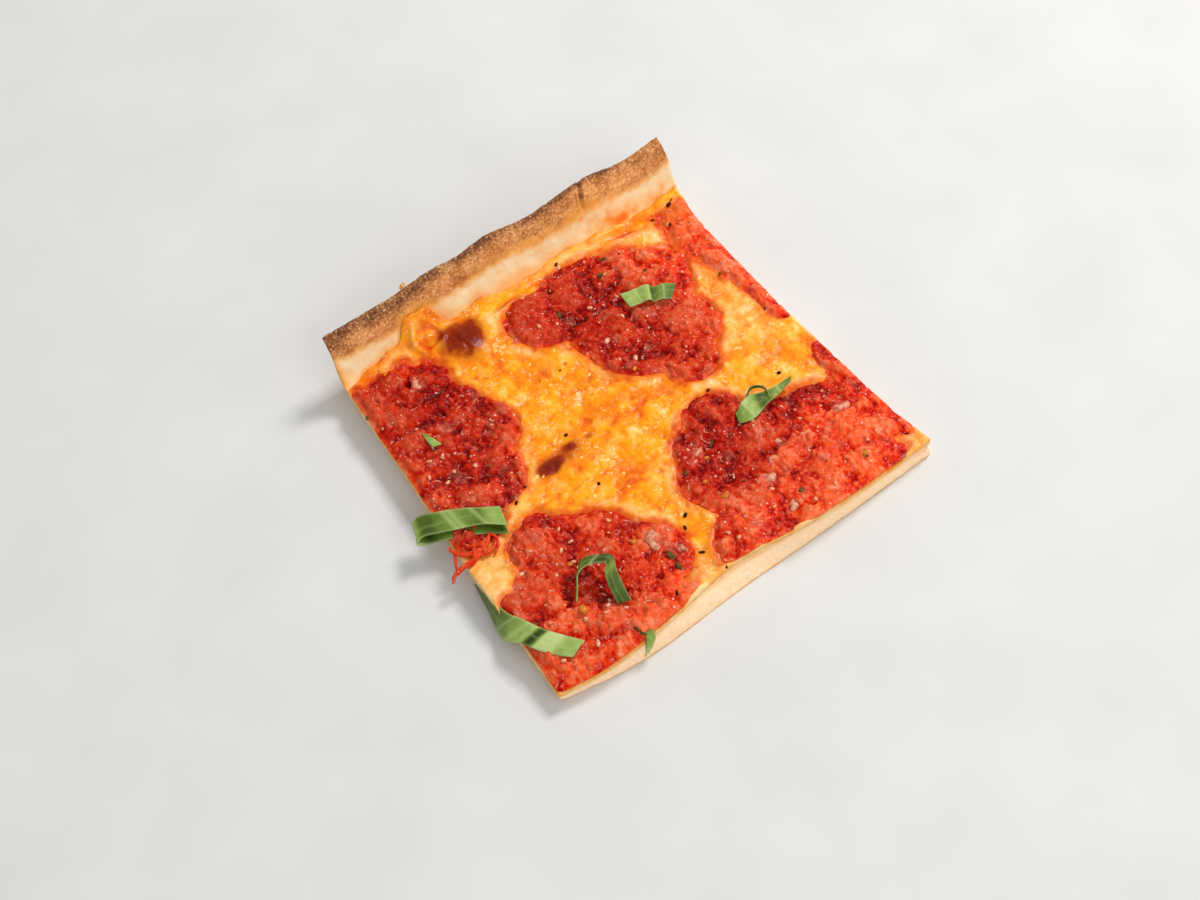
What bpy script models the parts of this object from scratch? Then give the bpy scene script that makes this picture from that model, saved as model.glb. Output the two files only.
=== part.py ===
"""A square slice of pan pizza with its baked rim, tomato pools and basil ribbons.

Run it in Blender 4.5. Lengths below are millimetres, turned into metres as each
mesh is made. The slice lies on z = 0 with its centre at the origin: +X runs along
the front cut, +Y towards the baked rim and +Z up.
"""
import math

import bmesh
import bpy
import numpy as np

MM = 0.001
GAP = 0.35              # clear space kept between touching pieces
COLLECTION = "pizza_slice"

# Plan of the slice: a five inch square, cut on three sides
FRONT_Y = -66.0
LEFT_X = -64.7          # left cut at the front corner
LEFT_LEAN = 0.083       # how fast the left cut closes in towards the rim
LEFT_BELLY = 0.9
LEFT_UNDERCUT = 1.5     # the foot of the left cut lies inside its top edge
RIGHT_X = 61.2          # right cut at its waist
RIGHT_BOW = 0.0005
RIGHT_WAIST_Y = -25.0
RIGHT_FLARE = 1.3       # where it stands out at the front corner and at the rim
RIGHT_UNDERCUT = 0.5
FRONT_TOP = ((-66, -64.0), (-50, -66.0), (-30, -65.0), (-5, -61.6), (20, -64.0), (62, -62.5))
FRONT_FOOT = ((-66, -63.0), (-45, -66.4), (-5, -65.2), (30, -64.4), (62, -63.0))

# Dough: a thin base that turns up into the rim along the back
DOUGH_TOP = 5.4
CORNER_SAG_LEFT = 1.7   # the base is thinner at its two front corners
CORNER_SAG_RIGHT = 1.0
CORNER_REACH = 17.0
DOUGH_SWELL = 0.35
SWELL_WAVE = 46.0
MIDDLE_LIFT = 0.9       # the dough is puffed up in the middle of the front cut
RIM_START_Y = 54.0      # where the base begins to curl up
RIM_CREST = ((-53, 21.3), (-42, 21.3), (-26, 23.0), (-16, 22.5), (-5, 24.2), (10, 21.9), (33, 24.2),
             (48, 21.8), (66, 24.8))
# (share of the way up the rim, y, height as a share of the crest's)
RIM_INSIDE = ((0.0, 54.0, 0.28), (0.22, 57.3, 0.385), (0.5, 60.0, 0.63), (0.7, 61.6, 0.8),
              (0.85, 63.6, 0.92), (1.0, 65.8, 1.0))
RIM_OUTSIDE = ((0.0, 58.2, 0.0), (0.22, 61.2, 0.055), (0.5, 64.0, 0.33), (0.7, 65.5, 0.62),
               (0.85, 66.3, 0.83), (1.0, 66.6, 0.95))
CRUST_COLUMNS = 30
BASE_ROWS = 17
RIM_ROWS = 7

# Melted cheese: one sheet over the dough, up to the foot of the rim
CHEESE_THICK = 1.75
CHEESE_UNDER_POOL = 1.2
CHEESE_INSET = 0.25
CHEESE_BACK_Y = 57.4
CHEESE_EDGE_THICK = 0.5
POOL_SINK_REACH = 6.5
CHEESE_COLUMNS = 27
CHEESE_ROWS = 26

# Tomato pools: each is a few spoonfuls (x, y, radius) that run together
POOL_RISE = 0.8
POOL_EDGE = 0.3
POOL_LIFT = 0.55        # clear space under a pool
POOL_MELD = 1.5         # how softly neighbouring spoonfuls join
POOL_MARGIN = 0.5       # left clear along the cut sides
POOL_SEGMENTS = 32
POOL_RINGS = 10
POOLS = {
    "sauce_back_left": ((-45, 43, 10.5), (-33, 44, 6.0), (-37, 52.5, 2.0), (-36, 30, 10.5), (-33, 18, 11.5),
                        (-47, 26, 11), (-47, 8, 12), (-40, 3, 10.5), (-51, -5, 9)),
    "sauce_back_right": ((2, 43, 9), (3, 38, 7), (17, 43, 10.5), (26, 47, 6), (15, 27, 10), (21, 16, 12.5),
                         (33, 14, 13.5), (29, 1, 8), (27, 33, 9), (38, 31, 11.5), (34, 42, 7.5)),
    "sauce_front_left": ((-43, -24, 8), (-38, -17.5, 4), (-37, -30, 12), (-28, -33, 10), (-22, -46, 12.5),
                         (-48, -42, 13), (-43, -53, 12), (-54, -54, 10.5), (-29, -53, 9)),
    "sauce_front_right": ((21, -19, 9), (14, -27, 11), (10, -37, 12), (13, -49, 11), (2, -53, 5), (-3, -55, 3),
                          (28, -36, 15), (30, -50, 13.5), (44, -38, 13), (44, -50, 13), (54, -45, 10),
                          (58, -32, 5), (60, -23, 4)),
    "sauce_edge_right": ((57, 50, 4), (58, 43, 5.5), (58, 35, 5), (59, 28, 4.5), (60, 21, 3.8), (60, 14, 3.2),
                         (60, 7, 3), (60, 2, 2.5)),
}

# Basil ribbons: points (x, y, z) along the middle and the direction across at each
BASIL_THICK = 0.55
BASIL_STEPS = 16
BASIL_WIDTH_STEPS = 2
RIBBONS = {
    "basil_left": {
        "width": 6.2,
        "middle": ((-45.6, -12.9, 9.7), (-56.2, -5.9, 9.7), (-65.8, -0.6, 9.5), (-67.1, 0.2, 10.3),
                   (-65.8, -0.1, 11.1), (-56.0, -5.0, 11.6), (-45.0, -12.1, 11.4)),
        "across": ((0.47, 0.88, 0.0),) * 7,
    },
    "basil_draped": {
        "width": 6.0,
        "middle": ((-63.1, -20.5, 4.2), (-64.3, -30.0, 4.5), (-65.0, -36.5, 5.6), (-63.2, -42.4, 8.1),
                   (-60.4, -46.8, 9.0), (-53.3, -57.8, 9.2)),
        "across": ((0.0, 0.0, 1.0), (0.1, 0.0, 0.99), (0.35, 0.0, 0.94), (0.9, 0.25, 0.36),
                   (0.75, 0.65, 0.1), (0.85, 0.5, 0.0)),
    },
    "basil_front": {
        "width": 3.6,
        "middle": ((-45.0, -45.7, 9.8), (-42.8, -43.1, 11.6), (-40.8, -41.1, 13.6), (-38.3, -40.5, 15.0),
                   (-35.1, -42.0, 15.6), (-32.8, -43.7, 15.5), (-34.2, -46.8, 13.5), (-35.1, -50.9, 11.3),
                   (-35.5, -54.2, 9.8)),
        "across": ((0.55, -0.8, 0.1), (0.5, -0.85, 0.1), (0.4, -0.85, 0.3), (0.2, -0.85, 0.5),
                   (-0.3, -0.85, 0.4), (-0.8, -0.5, 0.3), (-0.95, 0.0, 0.3), (-0.95, 0.1, 0.2),
                   (-0.95, 0.1, 0.1)),
    },
    "basil_right": {
        "width": 3.0,
        "middle": ((24.5, -25.6, 10.3), (28.2, -25.9, 10.7), (31.7, -26.0, 10.3), (36.4, -26.3, 10.9),
                   (41.3, -25.0, 10.4), (45.0, -23.4, 10.6)),
        "across": ((-0.1, 0.85, 0.5),) * 6,
    },
    "basil_back": {
        "width": 6.4,
        "middle": ((26.4, 29.9, 10.0), (30.3, 28.6, 10.3), (33.2, 26.9, 11.2), (36.2, 25.6, 10.4),
                   (39.5, 23.6, 10.1)),
        "across": ((0.1, 0.99, 0.0), (0.4, 0.9, 0.0), (0.55, 0.83, 0.0), (0.6, 0.8, 0.0),
                   (0.75, 0.65, 0.0)),
    },
}

# Finish: (linear red, green, blue), roughness
BAKED_DOUGH = ((0.72, 0.42, 0.19), 0.75)
MELTED_CHEESE = ((0.90, 0.36, 0.03), 0.35)
TOMATO_SAUCE = ((0.50, 0.03, 0.012), 0.4)
BASIL_LEAF = ((0.10, 0.25, 0.04), 0.5)


def clear_scene():
    """Remove every object left in the scene."""
    for thing in list(bpy.data.objects):
        bpy.data.objects.remove(thing, do_unlink=True)


def make_collection(name):
    """Link a new collection to the scene and return it."""
    collection = bpy.data.collections.new(name)
    bpy.context.scene.collection.children.link(collection)
    return collection


def make_material(name, finish):
    """A plain Principled material from a colour and a roughness."""
    colour, roughness = finish
    material = bpy.data.materials.new(name)
    material.use_nodes = True
    shader = material.node_tree.nodes["Principled BSDF"]
    shader.inputs["Base Color"].default_value = (*colour, 1.0)
    shader.inputs["Roughness"].default_value = roughness
    return material


def smooth_through(knots, at):
    """Smooth curve through knots, read at the given places.

    Each stretch is a Hermite cubic whose slope at a knot is that of the line joining
    the knot's two neighbours. A knot is a position followed by one or more values.
    """
    knots = np.asarray(knots, dtype=float)
    place, value = knots[:, 0], knots[:, 1:]
    slope = np.gradient(value, place, axis=0)
    at = np.clip(np.asarray(at, dtype=float), place[0], place[-1])
    left = np.clip(np.searchsorted(place, at, side="right") - 1, 0, len(place) - 2)
    span = place[left + 1] - place[left]
    t = ((at - place[left]) / span)[..., None]
    span = span[..., None]
    result = ((1 + 2 * t) * (1 - t) ** 2 * value[left] + t * (1 - t) ** 2 * span * slope[left]
              + t * t * (3 - 2 * t) * value[left + 1] + t * t * (t - 1) * span * slope[left + 1])
    return result[..., 0] if value.shape[1] == 1 else result


def ease(low, high, at):
    """Rise smoothly from 0 at low to 1 at high."""
    t = np.clip((at - low) / (high - low), 0.0, 1.0)
    return t * t * (3.0 - 2.0 * t)


def left_side(y):
    """x of the left cut's top edge."""
    belly = LEFT_BELLY * np.exp(-((y + 20.0) / 22.0) ** 2)
    return LEFT_X + LEFT_LEAN * (y - FRONT_Y) - belly


def right_side(y):
    """x of the right cut's top edge, which bows in at its waist."""
    flare = np.exp(-((y + 66.0) / 13.0) ** 2) + np.exp(-((y - 58.0) / 7.0) ** 2)
    return RIGHT_X + RIGHT_BOW * (y - RIGHT_WAIST_Y) ** 2 + RIGHT_FLARE * flare


def dough_height(x, y):
    """Top of the dough, level but for slow swells, thin corners and the curl of the rim."""
    swell = DOUGH_SWELL * np.sin(2 * math.pi * (x + 11) / SWELL_WAVE) * np.cos(2 * math.pi * y / SWELL_WAVE)
    left_corner = np.hypot(x + 64.0, y + 64.0)
    right_corner = np.hypot(x - 62.0, y + 63.0)
    sag = (CORNER_SAG_LEFT * np.exp(-(left_corner / CORNER_REACH) ** 2)
           + CORNER_SAG_RIGHT * np.exp(-(right_corner / CORNER_REACH) ** 2))
    lift = MIDDLE_LIFT * np.exp(-(x / 22.0) ** 2 - ((y + 64.0) / 14.0) ** 2)
    rim_foot = RIM_INSIDE[0][2] * smooth_through(RIM_CREST, x)
    curl = ease(RIM_START_Y - 16.0, RIM_START_Y, y)
    return (DOUGH_TOP + swell - sag + lift) * (1.0 - curl) + rim_foot * curl


def pool_distance(spoonfuls, x, y):
    """Signed distance to a pool's outline, below zero inside it.

    The distances to the spoonfuls are melded by a soft minimum.
    """
    total = 0.0
    for centre_x, centre_y, radius in spoonfuls:
        distance = np.hypot(x - centre_x, y - centre_y) - radius
        total = total + np.exp(-np.clip(distance, -40.0, 60.0) / POOL_MELD)
    return -POOL_MELD * np.log(total)


def cheese_floor(x, y):
    """Underside of the cheese sheet, clear of the dough also where that curls up."""
    return dough_surface_height(x, y + GAP) + GAP


def cheese_height(x, y):
    """Top of the cheese sheet, which thins under the pools and at the foot of the rim."""
    sink = 0.0
    for spoonfuls in POOLS.values():
        sink = np.maximum(sink, ease(1.0, 1.0 - POOL_SINK_REACH, pool_distance(spoonfuls, x, y)))
    thick = CHEESE_THICK + (CHEESE_UNDER_POOL - CHEESE_THICK) * sink
    edge = ease(CHEESE_BACK_Y - 6.0, CHEESE_BACK_Y, y)
    thick = thick + (CHEESE_EDGE_THICK - thick) * edge
    return cheese_floor(x, y) + thick


def rim_profile(knots, share, x):
    """y and z of a rim surface at a share of the way up, for the crest's height at x."""
    y, height = np.moveaxis(smooth_through(knots, share), -1, 0)
    return y, height * smooth_through(RIM_CREST, x)


def dough_surface_height(x, y):
    """Top of the dough including the lower part of the rim's inner face."""
    shares = np.linspace(0.0, 0.5, 24)
    rim_y, rim_height = np.moveaxis(smooth_through(RIM_INSIDE, shares), -1, 0)
    on_rim = np.interp(y, rim_y, rim_height) * smooth_through(RIM_CREST, x)
    return np.where(y > RIM_START_Y, on_rim, dough_height(x, y))


def sheet_between(name, columns, rows, lower, upper, collection, material):
    """A closed body between two surfaces.

    A grid is drawn out into two layers. The vertices of each layer are then placed by
    its own surface, a function of the shares (0 to 1) across and along the sheet.
    """
    body = bmesh.new()
    bmesh.ops.create_grid(body, x_segments=columns, y_segments=rows, size=0.5)
    low_layer = list(body.verts)
    drawn = bmesh.ops.extrude_face_region(body, geom=list(body.faces))
    high_layer = [part for part in drawn["geom"] if isinstance(part, bmesh.types.BMVert)]
    for layer, surface in ((low_layer, lower), (high_layer, upper)):
        shares = np.array([vertex.co for vertex in layer]) + 0.5
        points = surface(shares[:, 0], shares[:, 1]) * MM
        for vertex, point in zip(layer, points):
            vertex.co = point
    return finish_body(name, body, collection, material)


def finish_body(name, body, collection, material):
    """Turn a bmesh into a smooth-shaded object with its normals facing out."""
    bmesh.ops.recalc_face_normals(body, faces=body.faces)
    mesh = bpy.data.meshes.new(name)
    body.to_mesh(mesh)
    body.free()
    mesh.materials.append(material)
    mesh.shade_smooth()
    mesh.set_sharp_from_angle(angle=math.radians(40))
    thing = bpy.data.objects.new(name, mesh)
    collection.objects.link(thing)
    return thing


def crust_rows(share):
    """Split the share along the crust into a share of the base and one of the rim."""
    base_end = BASE_ROWS / (BASE_ROWS + RIM_ROWS)
    return np.clip(share / base_end, 0, 1), np.clip((share - base_end) / (1 - base_end), 0, 1)


def crust_surface(across, along, front, rim, height, undercuts):
    """Points of the crust's upper or lower surface.

    The base runs from the front cut to the rim's start, and the rim's own profile
    takes over from there. The sides follow the two cuts.
    """
    base, climb = crust_rows(along)
    straight_x = LEFT_X + across * (RIGHT_X - LEFT_X)
    rim_y, rim_z = rim_profile(rim, climb, straight_x)
    front_y = smooth_through(front, straight_x)
    y = np.where(climb > 0, rim_y, front_y + base * (rim[0][1] - front_y))
    left = left_side(y) + undercuts[0]
    x = left + across * (right_side(y) - undercuts[1] - left)
    z = np.where(climb > 0, rim_z, height(x, y))
    return np.stack((x, y, z), axis=1)


def build_crust(collection, material):
    """The dough base and its turned-up rim as one body."""
    def lower(across, along):
        return crust_surface(across, along, FRONT_FOOT, RIM_OUTSIDE, lambda x, y: 0.0 * x,
                             (LEFT_UNDERCUT, RIGHT_UNDERCUT))

    def upper(across, along):
        return crust_surface(across, along, FRONT_TOP, RIM_INSIDE, dough_height, (0.0, 0.0))

    return sheet_between("crust", CRUST_COLUMNS, BASE_ROWS + RIM_ROWS, lower, upper, collection, material)


def build_cheese(collection, material):
    """The cheese sheet, held just inside the cut sides."""
    def place(across, along):
        straight_x = LEFT_X + across * (RIGHT_X - LEFT_X)
        front_y = smooth_through(FRONT_TOP, straight_x) + CHEESE_INSET
        y = front_y + along * (CHEESE_BACK_Y - front_y)
        left = left_side(y) + CHEESE_INSET
        return left + across * (right_side(y) - CHEESE_INSET - left), y

    def lower(across, along):
        x, y = place(across, along)
        return np.stack((x, y, cheese_floor(x, y)), axis=1)

    def upper(across, along):
        x, y = place(across, along)
        return np.stack((x, y, cheese_height(x, y)), axis=1)

    return sheet_between("cheese", CHEESE_COLUMNS, CHEESE_ROWS, lower, upper, collection, material)


def inside_cuts(x, y):
    """Distance inside the nearest side of the cheese sheet, below zero outside it."""
    front = y - smooth_through(FRONT_TOP, x)
    return np.minimum.reduce((x - left_side(y), right_side(y) - x, front, CHEESE_BACK_Y - y))


def pool_reach(spoonfuls, centre, heading_x, heading_y):
    """How many headings a pool reaches from its centre, found by stepping outwards."""
    steps = np.linspace(0.0, 2.5, 501)
    x = centre[0] + steps[None, :] * heading_x[:, None]
    y = centre[1] + steps[None, :] * heading_y[:, None]
    within = (pool_distance(spoonfuls, x, y) < 0) & (inside_cuts(x, y) > POOL_MARGIN)
    return steps[np.argmin(within, axis=1)]


def build_pool(name, spoonfuls, collection, material):
    """A pool of tomato: a sphere pressed into a lens that lies on the cheese.

    The sphere is stretched to the pool's own length and width, and each of its
    meridians then runs out to the pool's outline.
    """
    middle_x, middle_y, radius = np.array(spoonfuls, dtype=float).T
    centre = np.average((middle_x, middle_y), axis=1, weights=radius ** 2)
    half_length = np.max(np.abs(middle_x - centre[0]) + radius)
    half_width = np.max(np.abs(middle_y - centre[1]) + radius)
    body = bmesh.new()
    bmesh.ops.create_uvsphere(body, u_segments=POOL_SEGMENTS, v_segments=POOL_RINGS, radius=1.0)
    ball = np.array([vertex.co for vertex in body.verts])
    angle = np.arctan2(ball[:, 1], ball[:, 0])
    heading_x = half_length * np.cos(angle)
    heading_y = half_width * np.sin(angle)
    reach = np.hypot(ball[:, 0], ball[:, 1]) * pool_reach(spoonfuls, centre, heading_x, heading_y)
    x = centre[0] + reach * heading_x
    y = centre[1] + reach * heading_y
    rise = np.where(ball[:, 2] > -0.01, POOL_EDGE + POOL_RISE * np.clip(ball[:, 2], 0, 1), 0.0)
    points = np.stack((x, y, cheese_height(x, y) + POOL_LIFT + rise), axis=1) * MM
    for vertex, point in zip(body.verts, points):
        vertex.co = point
    return finish_body(name, body, collection, material)


def build_ribbon(name, ribbon, collection, material):
    """A strip of basil leaf: a grid bent along its middle line, thickened by Solidify."""
    places = np.linspace(0.0, 1.0, len(ribbon["middle"]))
    middle = np.column_stack((places, ribbon["middle"]))
    across = np.column_stack((places, ribbon["across"]))
    body = bmesh.new()
    bmesh.ops.create_grid(body, x_segments=BASIL_STEPS, y_segments=BASIL_WIDTH_STEPS, size=0.5)
    shares = np.array([vertex.co for vertex in body.verts])
    sideways = smooth_through(across, shares[:, 0] + 0.5)
    sideways = sideways / np.linalg.norm(sideways, axis=1, keepdims=True)
    points = smooth_through(middle, shares[:, 0] + 0.5) + sideways * shares[:, 1:2] * ribbon["width"]
    for vertex, point in zip(body.verts, points * MM):
        vertex.co = point
    strip = finish_body(name, body, collection, material)
    leaf = strip.modifiers.new("leaf", "SOLIDIFY")
    leaf.thickness = BASIL_THICK * MM
    leaf.offset = 0.0
    return strip


def main():
    """Build the slice from the dough up."""
    clear_scene()
    slice_parts = make_collection(COLLECTION)
    dough = make_material("baked_dough", BAKED_DOUGH)
    cheese = make_material("melted_cheese", MELTED_CHEESE)
    tomato = make_material("tomato_sauce", TOMATO_SAUCE)
    basil = make_material("basil_leaf", BASIL_LEAF)
    build_crust(slice_parts, dough)
    build_cheese(slice_parts, cheese)
    for name, spoonfuls in POOLS.items():
        build_pool(name, spoonfuls, slice_parts, tomato)
    for name, ribbon in RIBBONS.items():
        build_ribbon(name, ribbon, slice_parts, basil)


main()
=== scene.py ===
"""The looks of a square slice of tomato pizza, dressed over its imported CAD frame.

Every shape below is worked out in millimetres, in the frame's own axes: +X runs along
the front cut, +Y towards the baked rim and +Z up. Meshes are written in metres.
"""
import logging
import math
from dataclasses import dataclass, field
from enum import Enum
from typing import Callable, Sequence

import bmesh
import bpy
import numpy as np
from mathutils import Matrix, Vector


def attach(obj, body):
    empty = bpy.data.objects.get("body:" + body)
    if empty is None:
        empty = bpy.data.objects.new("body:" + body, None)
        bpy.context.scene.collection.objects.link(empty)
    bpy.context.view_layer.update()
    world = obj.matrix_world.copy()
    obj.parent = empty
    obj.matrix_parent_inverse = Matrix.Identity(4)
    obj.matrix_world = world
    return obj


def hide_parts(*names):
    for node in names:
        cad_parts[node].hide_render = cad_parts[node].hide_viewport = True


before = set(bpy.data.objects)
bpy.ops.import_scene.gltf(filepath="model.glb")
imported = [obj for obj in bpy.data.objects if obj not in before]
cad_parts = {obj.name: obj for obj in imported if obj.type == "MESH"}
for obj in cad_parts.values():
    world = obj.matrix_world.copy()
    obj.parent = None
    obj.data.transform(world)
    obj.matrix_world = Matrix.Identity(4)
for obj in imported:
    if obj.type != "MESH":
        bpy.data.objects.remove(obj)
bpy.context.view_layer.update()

MM = 0.001
WELD = 0.004                    # grid points closer than this are one point, in mm
ROOT = "root"

Array = np.ndarray
Knots = Sequence[Sequence[float]]
Share = Callable[[Array, Array], Array]         # of places in plan, from 0 to 1

logging.basicConfig(level=logging.INFO, format="%(message)s")
log = logging.getLogger("pizza_slice")


class Slot(Enum):
    """Names of the material slots."""

    DOUGH = "baked_dough"
    CHEESE = "melted_cheese"
    SAUCE = "tomato_sauce"
    BASIL = "basil_leaf"


# --------------------------------------------------------------------------- numbers
#
# A seed is a whole number that picks one of many patterns and means nothing more.


def smooth_through(knots: Knots, at: Array) -> Array:
    """Smooth curve through knots: on each stretch a Hermite cubic whose slope at a knot
    is that of the line joining the knot's two neighbours.

    Args:
        knots: rows of a position followed by one or more values.
        at: positions where the curve is read.

    Returns:
        The values there, with a last axis only where a knot has several.
    """
    rows = np.asarray(knots, dtype=float)
    place, value = rows[:, 0], rows[:, 1:]
    slope = np.gradient(value, place, axis=0)
    at = np.clip(np.asarray(at, dtype=float), place[0], place[-1])
    left = np.clip(np.searchsorted(place, at, side="right") - 1, 0, len(place) - 2)
    span = place[left + 1] - place[left]
    t = ((at - place[left]) / span)[..., None]
    span = span[..., None]
    result = ((1 + 2 * t) * (1 - t) ** 2 * value[left] + t * (1 - t) ** 2 * span * slope[left]
              + t * t * (3 - 2 * t) * value[left + 1] + t * t * (t - 1) * span * slope[left + 1])
    return result[..., 0] if value.shape[1] == 1 else result


def ease(low: float, high: float, at: Array) -> Array:
    """Rise smoothly from 0 at low to 1 at high: t * t * (3 - 2t)."""
    t = np.clip((np.asarray(at, dtype=float) - low) / (high - low), 0.0, 1.0)
    return t * t * (3.0 - 2.0 * t)


def bell(at: Array, reach: Array | float) -> Array:
    """Fall smoothly from 1 at 0 to about a third at the reach: exp(-(at / reach)^2)."""
    return np.exp(-(at / reach) ** 2)


def by_distance(points: Knots) -> Array:
    """Knots for a line: each point's share of the way along it, then the point.

    Args:
        points: places in mm.

    Returns:
        The knots, for smooth_through.
    """
    rows = np.asarray(points, dtype=float)
    gone = np.append(0.0, np.cumsum(np.linalg.norm(np.diff(rows, axis=0), axis=1)))
    return np.column_stack((gone / gone[-1], rows))


def blob(x: Array, y: Array, centre: Sequence[float], reach: Sequence[float],
         turn: float = 0.0) -> Array:
    """A soft round mark, exp(-(u/a)^2 - (v/b)^2).

    Args:
        x: places in mm.
        y: the same.
        centre: the mark's middle.
        reach: a and b, along it and across it.
        turn: angle of its length, in degrees.

    Returns:
        Strengths from 0 to 1.
    """
    c, s = math.cos(math.radians(turn)), math.sin(math.radians(turn))
    u = (x - centre[0]) * c + (y - centre[1]) * s
    v = (y - centre[1]) * c - (x - centre[0]) * s
    return np.exp(-(u / reach[0]) ** 2 - (v / reach[1]) ** 2)


def blobs(x: Array, y: Array, rows: Knots) -> Array:
    """Sum of blobs, each row a strength, a centre, a reach along and across, and any turn."""
    return sum(strength * blob(x, y, (cx, cy), (a, b), *turn)
               for strength, cx, cy, a, b, *turn in rows)


def cell_number(cell: Array, seed: int) -> Array:
    """A fixed number from 0 to 1 for each whole-numbered cell, by integer mixing.

    Args:
        cell: whole numbers whose last axis is x, y, z.
        seed: picks one of many patterns.

    Returns:
        One number for each cell.
    """
    c = cell.astype(np.int64).astype(np.uint32)
    mixed = (c[..., 0] * np.uint32(0x9E3779B1)) ^ (c[..., 1] * np.uint32(0x85EBCA77))
    picked = np.uint32((seed * 0x27D4EB2F) & 0xFFFFFFFF)
    mixed = mixed ^ (c[..., 2] * np.uint32(0xC2B2AE3D)) ^ picked
    for shift, factor in ((15, 0x2C1B3C6D), (12, 0x297A2D39)):
        mixed = (mixed ^ (mixed >> np.uint32(shift))) * np.uint32(factor)
    return (mixed ^ (mixed >> np.uint32(15))).astype(float) / 2.0 ** 32


def noise(points: Array, grain: float, seed: int, octaves: int = 1) -> Array:
    """Smooth noise from about -1 to 1: random values at lattice corners, eased between.

    Args:
        points: places in mm, last axis x, y, z.
        grain: spacing of the lattice in mm.
        seed: picks one of many patterns.
        octaves: layers, each half as coarse and half as strong as the one before.

    Returns:
        One value for each place.
    """
    total, weight, strength = 0.0, 0.0, 1.0
    for layer in range(octaves):
        place = points / (grain / 2 ** layer)
        low = np.floor(place)
        t = place - low
        t = t * t * (3.0 - 2.0 * t)
        value = 0.0
        for corner in np.ndindex(2, 2, 2):
            share = np.prod(np.where(np.array(corner) == 1, t, 1.0 - t), axis=-1)
            value = value + share * cell_number(low + corner, seed + 17 * layer)
        total = total + strength * (2.0 * value - 1.0)
        weight += strength
        strength *= 0.5
    return total / weight * 1.3


def lumps(points: Array, grain: float, seed: int, flat: bool = False) -> tuple[Array, Array, Array]:
    """Cells round scattered centres, for grains and pores.

    Args:
        points: places in mm, last axis x, y, z.
        grain: mean spacing of the centres in mm.
        seed: picks one of many patterns.
        flat: look only at centres on the points' own level, for points on one level.

    Returns:
        Distance to the nearest centre and to the next one, as shares of the grain, and
        the nearest centre's own number from 0 to 1.
    """
    place = points / grain
    if flat:
        place = place * (1.0, 1.0, 0.0)
    home = np.floor(place)
    nearest = np.full(place.shape[:-1], 9.0)
    second = nearest.copy()
    owner = np.zeros_like(nearest)
    for step in np.ndindex(3, 3, 1 if flat else 3):
        cell = home + (np.array(step) - (1, 1, 0 if flat else 1))
        centre = cell + np.stack([cell_number(cell, seed + k) for k in (1, 2, 3)], axis=-1)
        away = np.linalg.norm((place - centre)[..., :2 if flat else 3], axis=-1)
        closer = away < nearest
        second = np.where(closer, nearest, np.minimum(second, away))
        owner = np.where(closer, cell_number(cell, seed + 4), owner)
        nearest = np.where(closer, away, nearest)
    return nearest, second, owner


def billows(points: Array, grain: float, seed: int, octaves: int) -> Array:
    """Rounded swellings with creases between them: the sum of |noise| over octaves, each
    half as coarse and 0.55 as strong.

    Args:
        points: places in mm, last axis x, y, z.
        grain: spacing of the first octave in mm.
        seed: picks one of many patterns.
        octaves: how many layers.

    Returns:
        Heights from 0 in a crease to about 1.
    """
    total, weight, strength = 0.0, 0.0, 1.0
    for layer in range(octaves):
        height = np.abs(noise(points, grain / 2 ** layer, seed + 31 * layer))
        total = total + strength * np.minimum(height * 1.7, 1.2)
        weight += strength
        strength *= 0.55
    return total / weight


def flat_points(x: Array, y: Array, z: float = 0.0) -> Array:
    """Places at one height, with x, y, z on the last axis."""
    return np.stack(np.broadcast_arrays(x, y, z), axis=-1).astype(float)


# --------------------------------------------------------------------------- meshes

# A grid's four edges, and whether a wall that hangs down from each has its faces turned.
EDGES = ((np.s_[0, :], True), (np.s_[-1, :], False), (np.s_[:, 0], False), (np.s_[:, -1], True))


@dataclass
class Shell:
    """Grid patches gathered into one closed mesh.

    Each patch is an m by n grid of points whose faces look towards the side that its
    rows and columns turn anticlockwise about. Marks are numbers kept with the points.
    """

    points: list[Array] = field(default_factory=list)
    faces: list[Array] = field(default_factory=list)
    marks: dict[str, list[Array]] = field(default_factory=dict)
    count: int = 0

    def add_grid(self, points: Array, flip: bool = False, keep: Array | None = None,
                 **marks: Array | float) -> None:
        """Add a patch.

        Args:
            points: m by n by 3 places in mm.
            flip: turn the faces round.
            keep: m-1 by n-1 truth values, for a patch with only some of its faces.
            marks: m by n numbers, or one number for the whole patch.
        """
        m, n = points.shape[:2]
        index = self.count + np.arange(m * n).reshape(m, n)
        quads = np.stack((index[:-1, :-1], index[1:, :-1], index[1:, 1:], index[:-1, 1:]), axis=-1)
        quads = quads[keep] if keep is not None else quads.reshape(-1, 4)
        self.faces.append(quads[:, ::-1] if flip else quads)
        self.points.append(points.reshape(-1, 3))
        for name in set(self.marks) | set(marks):
            kept = self.marks.setdefault(name, [np.zeros(self.count)])
            kept.append(np.broadcast_to(marks.get(name, 0.0), (m, n)).reshape(-1).astype(float))
        self.count += m * n

    def welded(self) -> tuple[Array, Array, dict[str, Array]]:
        """Points, faces and marks, with points that share a place made one."""
        points = np.concatenate(self.points)
        faces = np.concatenate(self.faces)
        cell = np.round(points / WELD).astype(np.int64)
        key = (cell[:, 0] * 2_000_003 + cell[:, 1]) * 2_000_003 + cell[:, 2]
        _, first, same = np.unique(key, return_index=True, return_inverse=True)
        faces = same[faces]
        whole = np.sort(faces, axis=1)
        faces = faces[np.all(whole[:, 1:] != whole[:, :-1], axis=1)]
        used, inverse = np.unique(faces, return_inverse=True)
        keep = first[used]
        marks = {name: np.concatenate(rows)[keep] for name, rows in self.marks.items()}
        return points[keep], inverse.reshape(faces.shape), marks


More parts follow.
